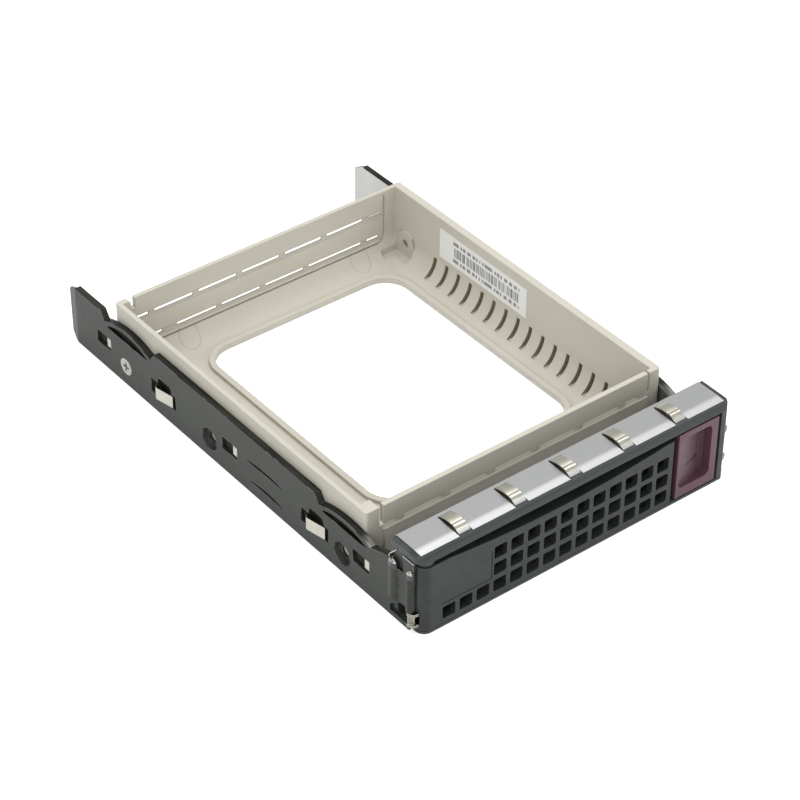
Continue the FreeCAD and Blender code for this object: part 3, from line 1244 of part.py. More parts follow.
def build_shield():
    """The thin conductive sheet on the beam, with bowed contact fingers in slots open at the front."""
    body = piece("emi_top_shield")
    lip = FRONT + SHIELD_BACK
    left, right = -(RAIL_OUT - SHIELD_LEFT_INSET), RAIL_OUT - SHIELD_RIGHT_INSET
    flat = [
        (BEZEL_REAR, BEAM_TOP),
        (BEZEL_REAR, BEAM_TOP + SHIELD_T),
        (lip + SHIELD_LIP_RUN, BEAM_TOP + SHIELD_T),
        (lip, BEAM_TOP + SHIELD_T - SHIELD_LIP_DROP),
        (lip, BEAM_TOP),
    ]
    slab(body, "shield_sheet_flat", "x", left, right, flat)
    rear = FRONT + BOW_REAR
    slot = box(BOW_START - BOW_WIDE * HALF, BOW_START + BOW_WIDE * HALF, lip - BEYOND, rear)
    opening = cut(body, "bow_slot", "z", BEAM_TOP - BEYOND, BEAM_TOP + BEYOND, slot)
    repeat(body, "bow_slots", opening, "X", BOW_PITCH, BOW_COUNT)
    side = BOW_WIDE * HALF - BOW_SIDE
    bow = bow_profile(FRONT + BOW_FRONT, rear, BEAM_TOP, BOW_RISE, SHIELD_T)
    finger = slab(body, "bow", "x", BOW_START - side, BOW_START + side, bow)
    repeat(body, "bows", finger, "X", BOW_PITCH, BOW_COUNT)
    return body


def build_clip():
    """The small contact strip on the right post, with two bumps."""
    body = piece("right_emi_clip")
    start = FRONT + CLIP_SETBACK
    strip = box(POST_X, POST_X + CLIP_T, CLIP_LOW, CLIP_TOP)
    slab(body, "clip_strip", "y", start, start + CLIP_WIDE, strip)
    for name, level in (("high_bump", CLIP_HIGH_BOW), ("low_bump", CLIP_LOW_BOW)):
        bump = [
            (POST_X + CLIP_T * HALF, level - CLIP_BOW * HALF),
            (POST_X + CLIP_T, level - CLIP_BOW * HALF),
            via(POST_X + CLIP_REACH, level),
            (POST_X + CLIP_T, level + CLIP_BOW * HALF),
            (POST_X + CLIP_T * HALF, level + CLIP_BOW * HALF),
        ]
        slab(body, name, "y", start, start + CLIP_WIDE, bump)
    return body


def build_plate():
    """The perforated cross plate behind the bezel, with an ear folded back along each rail."""
    body = piece("front_plate")
    side = RAIL_IN - PLATE_SIDE
    plate_rear = BEZEL_REAR + PLATE_T
    slab(body, "plate_sheet_flat", "y", BEZEL_REAR, plate_rear, box(-side, side, PLATE_LOW, PLATE_TOP))
    for sense, label in ((LEFT, "left"), (RIGHT, "right")):
        near, far = (side - PLATE_T) * sense, RAIL_IN * sense
        inner = (RAIL_IN - PLATE_T) * sense
        ear = [
            (near, BEZEL_REAR),
            (far, BEZEL_REAR),
            (far, plate_rear + EAR_LENGTH),
            (inner, plate_rear + EAR_LENGTH),
            (inner, plate_rear),
            (near, plate_rear),
        ]
        slab(body, f"{label}_ear", "z", PLATE_LOW, EAR_TOP, ear)
    first_hole = GRILLE_X + GRILLE_PITCH * (LOW_ROW - HIGH_ROW)
    level = GRILLE_Z + GRILLE_RISE
    hole = box(
        first_hole - PLATE_HOLE * HALF,
        first_hole + PLATE_HOLE * HALF,
        level - PLATE_HOLE * HALF,
        level + PLATE_HOLE * HALF,
    )
    first = cut(body, "plate_hole", "y", BEZEL_REAR - BEYOND, plate_rear + BEYOND, hole)
    repeat(body, "plate_holes", first, "X", GRILLE_PITCH, HIGH_ROW, ("Z", GRILLE_RISE, HIGH_ROWS))
    return body


def build_screw(side, name):
    """A countersunk drive screw, its head down in the rail's rear cup."""
    body = piece(name)
    seat = INSERT_SIDE + SHEET_T
    low, high = spread(side, seat, RAIL_OUT)
    rod(body, f"{name}_head", "x", low, high, REAR_HOLE, HOLE_HEIGHT, SCREW_HEAD)
    low, high = spread(side, seat - SCREW_LENGTH, seat + SHEET_T * HALF)
    rod(body, f"{name}_core", "x", low, high, REAR_HOLE, HOLE_HEIGHT, SCREW_CORE)
    low, high = spread(side, RAIL_OUT - DRIVE_SLOT_D, RAIL_OUT + BEYOND)
    reach, half_width = DRIVE_SLOT * HALF, DRIVE_SLOT_W * HALF
    arms = (("flat", reach, half_width), ("upright", half_width, reach))
    for label, along, up in arms:
        arm = box(REAR_HOLE - along, REAR_HOLE + along, HOLE_HEIGHT - up, HOLE_HEIGHT + up)
        cut(body, f"{name}_{label}_recess", "x", low, high, arm)
    return body


def build_label():
    """The paper label on the insert's right wall."""
    body = piece("asset_label")
    face = INSERT_SIDE - RIGHT_WALL
    rear_edge = REAR_HOLE - LABEL_FRONT
    sheet = box(rear_edge - LABEL_LENGTH, rear_edge, LABEL_LOW, LABEL_LOW + LABEL_TALL)
    slab(body, "label_sheet", "x", face - LABEL_T, face, sheet)
    return body


def check(document):
    """Stops if any feature failed, cut nothing or left a piece that isn't one sound solid."""
    for item in document.Objects:
        if "Invalid" in item.State or "Error" in item.State:
            raise ValueError(f"{item.Name} is {item.State}")
        if item.TypeId == "PartDesign::Pocket" and item.Shape.Volume >= item.BaseFeature.Shape.Volume:
            raise ValueError(f"{item.Name} cuts nothing")
    for body in PIECES:
        if body.Shape.isNull() or not body.Shape.isValid():
            raise ValueError(f"{body.Label} has no valid shape")


def write(folder):
    """Writes each piece to a file named after it."""
    os.makedirs(folder, exist_ok=True)
    for body in PIECES:
        body.Shape.exportStep(os.path.join(folder, f"{body.Label}.step"))


build_rail(LEFT, "left_rail")
build_rail(RIGHT, "right_rail")
build_ground_spring(LEFT, "left_ground_spring")
build_ground_spring(RIGHT, "right_ground_spring")
build_plate()
build_bezel()
build_handle()
build_hook()
build_pin()
build_latch()
build_shield()
build_clip()
build_insert()
build_screw(LEFT, "left_rear_screw")
build_screw(RIGHT, "right_rear_screw")
build_label()
DOC.recompute()
check(DOC)
write("parts")
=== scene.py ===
import math

import bmesh
import bpy
from mathutils import Matrix, Vector


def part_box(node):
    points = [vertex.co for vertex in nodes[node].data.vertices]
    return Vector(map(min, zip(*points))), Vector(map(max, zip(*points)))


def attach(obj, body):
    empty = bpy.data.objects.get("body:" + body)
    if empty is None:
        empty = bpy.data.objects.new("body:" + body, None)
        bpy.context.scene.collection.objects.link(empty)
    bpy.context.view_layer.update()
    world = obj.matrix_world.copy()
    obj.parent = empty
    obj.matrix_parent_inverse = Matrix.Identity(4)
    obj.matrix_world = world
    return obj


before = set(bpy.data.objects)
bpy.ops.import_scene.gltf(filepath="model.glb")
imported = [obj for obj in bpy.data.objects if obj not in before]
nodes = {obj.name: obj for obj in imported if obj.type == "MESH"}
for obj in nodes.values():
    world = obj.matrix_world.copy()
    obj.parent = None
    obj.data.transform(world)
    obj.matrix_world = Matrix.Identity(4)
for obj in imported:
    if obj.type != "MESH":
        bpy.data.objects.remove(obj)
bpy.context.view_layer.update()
scene = bpy.context.scene

# Lengths are in millimetres unless a comment says otherwise. Gains and noise scales are per metre.
MM = 0.001
SHARP_TURN = math.radians(40)

# How noise is stretched over a surface. A small share draws it out that way.
EVEN = (1.0, 1.0, 1.0)
ALONG_BEZEL = (0.03, 1.0, 1.0)
ALONG_RAIL = (1.0, 0.08, 1.0)
WORN_ALONG = (1.0, 0.3, 1.0)
OVER_BOW = (0.6, 0.05, 0.6)
ACROSS_BEAD = (0.3, 1.0, 1.0)

# The shield, its bowed fingers, the folds on them and the sheet under them.
BEAM_TOP = 25.75
BOW_FIRST = -36.6
BOW_PITCH = 18.45
BOW_COUNT = 5
BOW_WIDTH = 3.7
BOW_CREST = (-75.1, 27.26)
BOW_FALL = 0.0723
BOW_FOOT = -78.3
FOOT_GAIN = 2500.0
RAISED_FROM = 26.07
RAISED_GAIN = 8000.0
# Ahead of LIP_REAR the sheet is painted pale as a highlight, and the fingers ahead of BOW_FOOT
# near-white.
LIP_REAR = -77.25
LIP_GAIN = 900.0
# A painted sheen: the sheet's tone grows paler to the right, per metre.
SHEEN_TO_RIGHT = 6.0
FOLD_REAR = -76.0
FOLD_FRONT = -78.4
FOLD_RISE = 0.24
FOLD_STEPS = 14
FOLD_SUNK = 0.1
BED_WIDTH = 4.3
BED_FRONT = -78.4
BED_REAR = -71.3
BED_THICK = 0.06
BED_BEVEL = 0.01

# The rails, with a bare tab edge and two beads at the left rail's front end.
FACES_UP = 0.6
FACES_FRONT = -0.06
INNER_SIDE = 20.0
# Upward rail faces above this level are painted dark, as shade.
SHADED_TOP_FROM = 12.0
# Front-facing tops ahead of GLARE_REAR get a painted glare.
GLARE_REAR = -57.0
GLARE_GAIN = 170.0
TAB_FRONT = -74.5
TAB_TOP = 23.2
TAB_EDGE_LOW = (-53.04, -79.3, TAB_TOP)
TAB_EDGE_HIGH = (-52.7, -75.0, TAB_TOP + 0.3)
TAB_EDGE_BEVEL = 0.05
BEAD_BARE = 18.85
BEAD_STEP = 0.5
BEAD_GAIN = 4000.0
BEAD_DOMES = (
    ((-52.95, -70.95, 17.65), (0.92, 1.8, 2.1)),
    ((-52.95, -70.95, 18.2), (0.9, 1.78, 1.5)),
    ((-52.95, -78.0, 17.95), (0.92, 1.25, 2.45)),
    ((-52.95, -78.0, 18.8), (0.9, 1.24, 1.55)),
)
DOME_ROUND = 24
DOME_RINGS = 14

# The springs behind the rails, and the curl beside the rear bead.
# Between these distances from the middle the springs are painted dark, as shade behind the rails.
SPRING_INNER = 51.2
SPRING_OUTER = 52.12
CURL_SIDES = (-53.1, -52.4)
CURL_THICK = 0.25
CURL_BEND = (
    (-70.6, 18.9), (-69.9, 19.2), (-69.6, 19.8), (-69.75, 20.5),
    (-70.3, 21.2), (-71.1, 22.0), (-72.0, 23.0), (-72.6, 23.8),
)

# The insert's pin marks and louvres.
PIN_MARKS = ((-28.6, 56.0), (33.6, 56.0))
PIN_MARK = 3.2
PIN_LINE = 0.35
PIN_TOP = 7.0
PIN_TINT = 0.35
PIN_DEPTH = 6.0
# Louvre sides in this reach are painted darker, as shade in the slits.
SLIT_SIDE = 0.7
SLIT_LEFT = 40.0
SLIT_REACH = 50.0

# The latch's thumb pocket and its arrow.
POCKET_FRONT = -81.3
POCKET_FACE = -0.9
POCKET_SLOPE = 0.2955
POCKET_START = (40.6, -80.07)
ARROW_LEVEL = 10.0
ARROW_PROUD = 0.12
ARROW_OUTLINE = (
    (39.8, -0.25), (43.5, -0.25), (43.5, -0.95), (45.3, 0.0),
    (43.5, 0.95), (43.5, 0.25), (39.8, 0.25),
)

# The label, in shares of its height and its length.
BAR_ROW = (0.34, 0.66)
DASH_ROWS = ((0.14, 0.26), (0.74, 0.86))
PRINT_SPAN = (0.16, 0.92)
BAR_SCALE = 2600.0
DASH_SCALE = 900.0

# The room and its lamps, in metres and watts. A lamp: name, place, width, height, power.
FLOOR_SIZE = 6.0
FLOOR_GREY = 0.8
FLOOR_ROUGH = 0.9
FLOOR_GLOW = 0.55
ROOM_LIGHT = 0.55
LAMP_AIM = (0, 0, 0.01)
SOFTBOXES = (
    ("overhead", (0.1, 0.1, 0.9), 0.9, 0.9, 7.0),
    ("left_front", (-0.7, -0.5, 0.5), 0.6, 0.5, 2.5),
    ("right_front", (0.5, -0.8, 0.4), 0.6, 0.4, 1.6),
)

# The camera. Its target, distance and sensor are in millimetres, its near limit in metres.
IMAGE_WIDTH = 800
SENSOR = 36.0
FOCAL_PIXELS = 2730.383
CAMERA_AZIMUTH = math.radians(-38.25)
CAMERA_ELEVATION = math.radians(37.938)
CAMERA_ROLL = math.radians(0.388)
CAMERA_TARGET = (-3.695, -10.93, 10.0)
CAMERA_DISTANCE = 757.159
CLIP_START = 0.01


def tone(red, green, blue):
    """A colour from 0 to 255 as the shader's linear colour."""
    linear = []
    for level in (red, green, blue):
        share = level / 255
        linear.append(share / 12.92 if share <= 0.04045 else ((share + 0.055) / 1.055) ** 2.4)
    return (*linear, 1.0)


class Wire:
    """A value on its way through the nodes. Sums of wires add their own Math nodes."""

    def __init__(self, graph, socket):
        self.graph = graph
        self.socket = socket

    def math(self, operation, *values):
        settings = {"operation": operation}
        return self.graph.add("ShaderNodeMath", settings, dict(enumerate(values)))["Value"]

    def __add__(self, other):
        return self.math("ADD", self, other)

    def __radd__(self, other):
        return self.math("ADD", other, self)

    def __sub__(self, other):
        return self.math("SUBTRACT", self, other)

    def __rsub__(self, other):
        return self.math("SUBTRACT", other, self)

    def __mul__(self, other):
        return self.math("MULTIPLY", self, other)

    def __rmul__(self, other):
        return self.math("MULTIPLY", other, self)

    def __truediv__(self, other):
        return self.math("DIVIDE", self, other)

    def above(self, level):
        return self.math("GREATER_THAN", self, level)

    def below(self, level):
        return self.math("LESS_THAN", self, level)

    def between(self, low, high):
        return self.above(low) * self.below(high)

    def size(self):
        return self.math("ABSOLUTE", self)

    def root(self):
        return self.math("SQRT", self)

    def limited(self):
        return self.math("MINIMUM", self.math("MAXIMUM", self, 0.0), 1.0)

    def ramp(self, start, gain):
        """0 up to the start, then rising to 1."""
        return ((self - start) * gain).limited()


class Outputs:
    """The outputs of a node, read by name or number as wires."""

    def __init__(self, graph, node):
        self.graph = graph
        self.node = node

    def __getitem__(self, name):
        return Wire(self.graph, self.node.outputs[name])


class Graph:
    """A node tree and the one method that adds to it."""

    def __init__(self, tree):
        self.tree = tree

    def add(self, kind, settings=None, inputs=None):
        node = self.tree.nodes.new(kind)
        for name, value in (settings or {}).items():
            setattr(node, name, value)
        for name, value in (inputs or {}).items():
            self.feed(node.inputs[name], value)
        return Outputs(self, node)

    def feed(self, socket, value):
        """Links a wire to a socket, or sets a constant on it."""
        if isinstance(value, Wire):
            self.tree.links.new(value.socket, socket)
        else:
            socket.default_value = value


class Finish(Graph):
    """A material with one Principled surface, and the nodes that vary it."""

    def __init__(self, name, metallic=0.0, gloss=0.5):
        self.material = bpy.data.materials.new(name)
        self.material.use_nodes = True
        super().__init__(self.material.node_tree)
        self.surface = self.tree.nodes["Principled BSDF"]
        self.drive("Metallic", metallic)
        self.drive("Specular IOR Level", gloss)

    def drive(self, socket, value):
        self.feed(self.surface.inputs[socket], value)

    def place(self):
        """The point of the surface in the object's own frame, in metres."""
        return self.add("ShaderNodeTexCoord")["Object"]

    def split(self, vector):
        parts = self.add("ShaderNodeSeparateXYZ", inputs={"Vector": vector})
        return parts["X"], parts["Y"], parts["Z"]

    def facing(self):
        """The three parts of the direction a surface faces."""
        return self.split(self.add("ShaderNodeNewGeometry")["True Normal"])

    def noise(self, scale, detail=2.0, roughness=0.5, vector=None):
        inputs = {"Scale": scale, "Detail": detail, "Roughness": roughness}
        inputs["Vector"] = vector or self.place()
        return self.add("ShaderNodeTexNoise", inputs=inputs)["Fac"]

    def streaks(self, stretch, scale):
        """Noise drawn out along one direction, as rolling or drawing leaves it."""
        settings = {"operation": "MULTIPLY"}
        drawn = self.add("ShaderNodeVectorMath", settings, {0: self.place(), 1: stretch})["Vector"]
        return self.noise(scale, detail=3.0, vector=drawn)

    def blend(self, amount, first, second):
        """One colour turning into another as the amount goes from 0 to 1."""
        inputs = {0: amount, 6: first, 7: second}
        return self.add("ShaderNodeMix", {"data_type": "RGBA"}, inputs)[2]

    def rounded(self, radius, samples):
        """The direction that a surface faces once its edges are rounded."""
        inputs = {"Radius": radius * MM}
        return self.add("ShaderNodeBevel", {"samples": samples}, inputs)["Normal"]

    def edges(self, radius, gain=6.0):
        """How near a point lies to a sharp edge, from 0 on the flat to 1."""
        flat = self.add("ShaderNodeNewGeometry")["True Normal"]
        inputs = {0: self.rounded(radius, samples=6), 1: flat}
        turned = self.add("ShaderNodeVectorMath", {"operation": "DOT_PRODUCT"}, inputs)["Value"]
        return ((1.0 - turned) * gain).limited()

    def relief(self, height, depth, edge=0.0):
        """Fine relief on the surface, over edges that are rounded by a small radius."""
        inputs = {"Height": height, "Distance": depth * MM, "Strength": 1.0}
        if edge:
            inputs["Normal"] = self.rounded(edge, samples=4)
        self.drive("Normal", self.add("ShaderNodeBump", inputs=inputs)["Normal"])


def moulded_black(name, low, high, stretch):
    """Dark green-grey moulded plastic with a fine satin grain and paler, rubbed edges."""
    finish = Finish(name, gloss=0.24)
    cloud = finish.streaks(stretch, 260.0).ramp(start=0.3, gain=2.5)
    body = finish.blend(cloud, low, high)
    rubbed = finish.edges(0.4) * (0.25 + 0.5 * finish.noise(700.0, detail=3.0))
    finish.drive("Base Color", finish.blend(rubbed, body, tone(96, 101, 96)))
    finish.drive("Roughness", 0.3 + 0.14 * finish.noise(900.0))
    finish.relief(finish.noise(5200.0, detail=3.0), depth=0.015, edge=0.3)
    return finish


def coated_sheet():
    """Black coated sheet steel: satin outside, bare along rubbed edges and inside, painted dark on
    top as shade, with a painted glare on its front-facing top bends.
    """
    finish = Finish("coated_sheet", gloss=0.22)
    along_x, along_y, up = finish.split(finish.place())
    side, behind, rise = finish.facing()
    upward = rise.above(FACES_UP)
    inward = (side * along_x).below(-INNER_SIDE * MM)
    # Upward faces high on the rails are painted dark, as shade.
    top = upward * up.above(SHADED_TOP_FROM * MM)
    tab_edge = upward * up.above(TAB_TOP * MM) * along_y.below(TAB_FRONT * MM)
    bare = (inward + tab_edge).limited()
    cloud = finish.noise(120.0, detail=3.0)
    drawn = finish.streaks(ALONG_RAIL, 900.0).ramp(start=0.42, gain=4.0)
    worn = finish.edges(0.35) * finish.streaks(WORN_ALONG, 500.0).above(0.52) * 0.8
    # A painted glare: front-facing top bends near the front are painted pale, as a highlight.
    reach = ((GLARE_REAR * MM - along_y) * GLARE_GAIN).limited()
    glare = reach * behind.below(FACES_FRONT) * (0.3 + 0.7 * drawn)
    coat = finish.blend(cloud, tone(38, 42, 38), tone(50, 54, 49))
    # The streaked dark tone of that painted shade on the tops.
    dark = finish.blend(drawn, tone(16, 17, 13), tone(48, 49, 41))
    steel = finish.blend(cloud, tone(176, 176, 174), tone(194, 194, 192))
    outside = finish.blend(top, coat, finish.blend(glare, dark, tone(190, 190, 184)))
    rubbed = finish.blend(worn, outside, tone(140, 141, 134))
    finish.drive("Base Color", finish.blend(bare, rubbed, steel))
    finish.drive("Metallic", (bare * 0.75 + worn * 0.8).limited())
    finish.drive("Roughness", 0.36 + 0.1 * finish.noise(700.0) + inward * 0.05)
    finish.relief(finish.noise(3000.0), depth=0.01, edge=0.18)
    return finish


def plate_coat():
    """The perforated plate's plain dark coat."""
    finish = Finish("plate_coat")
    cloud = finish.noise(200.0, detail=3.0)
    finish.drive("Base Color", finish.blend(cloud, tone(22, 23, 21), tone(32, 33, 30)))
    finish.drive("Roughness", 0.45 + 0.1 * finish.noise(900.0))
    finish.relief(finish.noise(2600.0), depth=0.01, edge=0.2)
    return finish


def pin_rings(along_x, along_y, up):
    """Thin rings round the two pin marks on the insert's floor."""
    rings = None
    for left, back in PIN_MARKS:
        aside, behind = along_x - left * MM, along_y - back * MM
        reach = (aside * aside + behind * behind).root()
        ring = (1.0 - (reach - PIN_MARK * MM).size() / (PIN_LINE * MM)).limited()
        rings = rings + ring if rings else ring
    return rings * up.below(PIN_TOP * MM)


def tan_moulding():
    """Warm grey-tan moulded plastic, a little mottled, with pin marks, and louvres whose sides are
    painted darker as shade.
    """
    finish = Finish("tan_moulding", gloss=0.4)
    cloud = finish.noise(40.0, detail=4.0, roughness=0.6)
    colour = finish.blend(cloud, tone(186, 182, 170), tone(198, 194, 182))
    along_x, along_y, up = finish.split(finish.place())
    rings = pin_rings(along_x, along_y, up)
    _, behind, _ = finish.facing()
    in_slits = along_x.above(SLIT_LEFT * MM) * along_y.size().below(SLIT_REACH * MM)
    # The louvres' sides are painted darker, as shade in the slits.
    slit_shade = behind.size().above(SLIT_SIDE) * in_slits
    marked = finish.blend(rings * PIN_TINT, colour, tone(160, 153, 138))
    finish.drive("Base Color", finish.blend(slit_shade, marked, tone(150, 142, 120)))
    finish.drive("Roughness", 0.46 + 0.1 * finish.noise(500.0))
    finish.relief(finish.noise(2600.0, detail=3.0) - rings * PIN_DEPTH, depth=0.015, edge=0.4)
    return finish


def plum_moulding():
    """The release latch's plum plastic, paler on its rubbed edges and inside its pocket."""
    finish = Finish("plum_moulding", gloss=0.36)
    cloud = finish.noise(180.0, detail=3.0)
    _, along_y, _ = finish.split(finish.place())
    _, front, _ = finish.facing()
    pocket = front.below(POCKET_FACE) * along_y.above(POCKET_FRONT * MM)
    face = finish.blend(cloud, tone(85, 55, 67), tone(95, 63, 76))
    floor = finish.blend(cloud, tone(90, 64, 75), tone(101, 74, 85))
    rubbed = finish.edges(0.4) * (0.3 + 0.4 * finish.noise(600.0))
    body = finish.blend(pocket, face, floor)
    finish.drive("Base Color", finish.blend(rubbed, body, tone(132, 104, 118)))
    finish.drive("Roughness", 0.36 + 0.1 * finish.noise(900.0))
    finish.relief(finish.noise(4200.0), depth=0.02, edge=0.3)
    return finish


def shield_film():
    """Thin matte silver sheet and champagne-coloured raised fingers, with painted highlights on the
    lip, the edges and the fingers' feet, and a painted sheen that grows to the right.
    """
    finish = Finish("shield_film", metallic=1.0)
    along_x, along_y, up = finish.split(finish.place())
    raised = up.ramp(RAISED_FROM * MM, RAISED_GAIN)
    # Painted sheen: the tone drifts paler to the right across the sheet.
    cloud = (finish.noise(90.0, detail=3.0) * 0.5 + along_x * SHEEN_TO_RIGHT + 0.25).limited()
    # Painted highlights on the lip, on the edges and on the fingers' feet.
    lip = ((LIP_REAR * MM - along_y) * LIP_GAIN).limited()
    foot = ((BOW_FOOT * MM - along_y) * FOOT_GAIN).limited() * 0.9
    bright = (lip + finish.edges(0.3, gain=4.0) * 0.6).limited()
    flat = finish.blend(cloud, tone(158, 158, 158), tone(172, 173, 174))
    sheet = finish.blend(bright, flat, tone(196, 196, 197))
    drawn = finish.streaks(OVER_BOW, 700.0)
    bowed = finish.blend(drawn, tone(184, 181, 168), tone(214, 212, 199))
    finger = finish.blend(foot, bowed, tone(228, 228, 226))
    finish.drive("Base Color", finish.blend(raised, sheet, finger))
    finish.drive("Roughness", 0.4 + 0.08 * finish.noise(600.0) - 0.14 * raised)
    finish.relief(finish.noise(1500.0), depth=0.006)
    return finish


def spring_strip():
    """Rolled spring steel, a little warm, painted dark where it lies behind the rails, as shade."""
    finish = Finish("spring_strip", gloss=0.1)
    along_x, _, _ = finish.split(finish.place())
    # Behind the rails the strip is painted dark as shade, darkest on the left and olive on the
    # right, with no metal sheen.
    behind = along_x.size().between(SPRING_INNER * MM, SPRING_OUTER * MM)
    cloud = finish.noise(400.0, detail=3.0)
    bright = finish.blend(cloud, tone(168, 166, 156), tone(190, 188, 176))
    left_spring_shade = finish.blend(cloud, tone(20, 21, 18), tone(32, 33, 28))
    spring_shade = finish.blend(along_x.above(0.0), left_spring_shade, tone(112, 114, 98))
    finish.drive("Base Color", finish.blend(behind, bright, spring_shade))
    finish.drive("Metallic", 1.0 - behind)
    finish.drive("Roughness", 0.24 + 0.12 * finish.noise(1200.0) + 0.25 * behind)
    finish.relief(finish.noise(2200.0), depth=0.006, edge=0.2)
    return finish


def folded_steel():
    """Folded steel: painted shade on its flats and a painted highlight along its edges."""
    finish = Finish("hook_steel", metallic=1.0)
    # The painted highlight along the edges, over the painted shade of the flats.
    bright = (finish.edges(0.3) * 0.9 + finish.noise(700.0, detail=3.0) * 0.3).limited()
    finish.drive("Base Color", finish.blend(bright, tone(96, 94, 84), tone(226, 224, 212)))
    finish.drive("Roughness", 0.24 + 0.12 * finish.noise(1200.0))
    finish.relief(finish.noise(2200.0), depth=0.006, edge=0.2)
    return finish


def bead_steel():
    """The beads' rounded tops: coated below, rubbed to bright steel above."""
    finish = Finish("bead_steel")
    _, along_y, up = finish.split(finish.place())
    level = BEAD_BARE * MM + along_y.below(TAB_FRONT * MM) * (BEAD_STEP * MM)
    bare = up.ramp(level, BEAD_GAIN)
    drawn = finish.streaks(ACROSS_BEAD, 900.0)
    steel = finish.blend(drawn, tone(150, 151, 148), tone(206, 206, 202))
    finish.drive("Base Color", finish.blend(bare, tone(54, 58, 54), steel))
    finish.drive("Metallic", bare)
    finish.drive("Roughness", 0.24 + 0.12 * finish.noise(1500.0))
    finish.relief(finish.noise(2600.0), depth=0.005)
    return finish


def contact_steel():
    """Bright thin contact sheet."""
    finish = Finish("contact_steel", metallic=1.0)
    drawn = finish.streaks(ACROSS_BEAD, 900.0)
    finish.drive("Base Color", finish.blend(drawn, tone(150, 150, 146), tone(196, 196, 192)))
    finish.drive("Roughness", 0.26 + 0.12 * finish.noise(1500.0))
    finish.relief(finish.noise(2600.0), depth=0.005)
    return finish


def mark_moulding():
    """The darker plum of the latch's arrow, painted as the shade in an engraved line."""
    finish = Finish("mark_moulding")
    cloud = finish.noise(600.0, detail=3.0)
    finish.drive("Base Color", finish.blend(cloud, tone(58, 36, 46), tone(72, 46, 58)))
    finish.drive("Roughness", 0.4 + 0.1 * finish.noise(1400.0))
    finish.relief(finish.noise(4200.0), depth=0.01, edge=0.1)
    return finish


def screw_plate():
    """Bright plated screws."""
    finish = Finish("screw_plate", metallic=1.0)
    cloud = finish.noise(900.0, detail=3.0)
    finish.drive("Base Color", finish.blend(cloud, tone(150, 150, 146), tone(176, 176, 170)))
    finish.drive("Roughness", 0.26 + 0.1 * finish.noise(2000.0))
    finish.relief(finish.noise(2600.0), depth=0.006, edge=0.2)
    return finish


def label_stock():
    """A plain white label with a row of plain bars between two dashed rows."""
    finish = Finish("label_stock")
    _, along, up = finish.split(finish.place())
    low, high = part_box("asset_label")
    far = (high.y - along) / (high.y - low.y)
    tall = (up - low.z) / (high.z - low.z)
    column = finish.add("ShaderNodeCombineXYZ", inputs={"X": along})["Vector"]
    bars = finish.noise(BAR_SCALE, detail=1.0, vector=column).above(0.5)
    dashes = finish.noise(DASH_SCALE, detail=0.0, vector=column).above(0.47)
    lower, upper = DASH_ROWS
    rows = tall.between(*lower) + tall.between(*upper)
    printed = bars * tall.between(*BAR_ROW) + rows * dashes * 0.8
    ink = printed * far.between(*PRINT_SPAN)
    finish.drive("Base Color", finish.blend(ink, tone(226, 226, 224), tone(92, 92, 92)))
    finish.drive("Roughness", 0.5 + 0.1 * finish.noise(800.0))
    return finish


def dress(node, finish):
    """Gives a carried-over piece its finish."""
    mesh = nodes[node].data
    mesh.materials.clear()
    mesh.materials.append(finish.material)


def dress_all(shield):
    """Every carried-over piece with its finish."""
    folded = folded_steel()
    sheet = coated_sheet()
    spring = spring_strip()
    screws = screw_plate()
    finishes = {
        "left_rail": sheet,
        "right_rail": sheet,
        "front_plate": plate_coat(),
        "bezel_frame": moulded_black(
            "bezel_black", tone(46, 50, 49), tone(66, 70, 69), stretch=ALONG_BEZEL),
        "handle": moulded_black(
            "handle_black", tone(37, 42, 39), tone(47, 52, 48), stretch=EVEN),
        "ejector_hook": folded,
        "hinge_pin": spring,
        "release_latch": plum_moulding(),
        "emi_top_shield": shield,
        "right_emi_clip": folded,
        "left_ground_spring": spring,
        "right_ground_spring": spring,
        "drive_insert": tan_moulding(),
        "left_rear_screw": screws,
        "right_rear_screw": screws,
        "asset_label": label_stock(),
    }
    for node, finish in finishes.items():
        dress(node, finish)


def place_piece(name, form, finish, body, smooth=False):
    """Turns a bmesh in millimetres into a piece in metres that rides on a body."""
    bmesh.ops.recalc_face_normals(form, faces=form.faces)
    bmesh.ops.scale(form, verts=form.verts, vec=(MM, MM, MM))
    mesh = bpy.data.meshes.new(name)
    form.to_mesh(mesh)
    form.free()
    for face in mesh.polygons:
        face.use_smooth = smooth
    if smooth:
        mesh.set_sharp_from_angle(angle=SHARP_TURN)
    mesh.materials.append(finish.material)
    piece = bpy.data.objects.new(name, mesh)
    scene.collection.objects.link(piece)
    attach(piece, body)


def add_block(form, low, high, bevel):
    """A block between two corners, its edges bevelled."""
    made = bmesh.ops.create_cube(form, size=1.0)["verts"]
    spans = [top - bottom for bottom, top in zip(low, high)]
    middle = [(top + bottom) / 2 for bottom, top in zip(low, high)]
    bmesh.ops.scale(form, verts=made, vec=spans)
    bmesh.ops.translate(form, verts=made, vec=middle)
    edges = list({edge for vert in made for edge in vert.link_edges})
    bmesh.ops.bevel(
        form, geom=edges, offset=bevel, affect="EDGES", segments=2, profile=0.5, material=-1)


def add_dome(form, middle, radii):
    """The upper half of an egg shape, closed below."""
    made = bmesh.ops.create_uvsphere(
        form, u_segments=DOME_ROUND, v_segments=DOME_RINGS, radius=1.0)["verts"]
    bmesh.ops.scale(form, verts=made, vec=radii)
    bmesh.ops.translate(form, verts=made, vec=middle)
    faces = list({face for vert in made for face in vert.link_faces})
    edges = list({edge for vert in made for edge in vert.link_edges})
    bmesh.ops.bisect_plane(
        form, geom=made + edges + faces, plane_co=middle, plane_no=(0, 0, 1), clear_inner=True)
    open_edges = [edge for edge in form.edges if edge.is_boundary]
    bmesh.ops.holes_fill(form, edges=open_edges, sides=0)


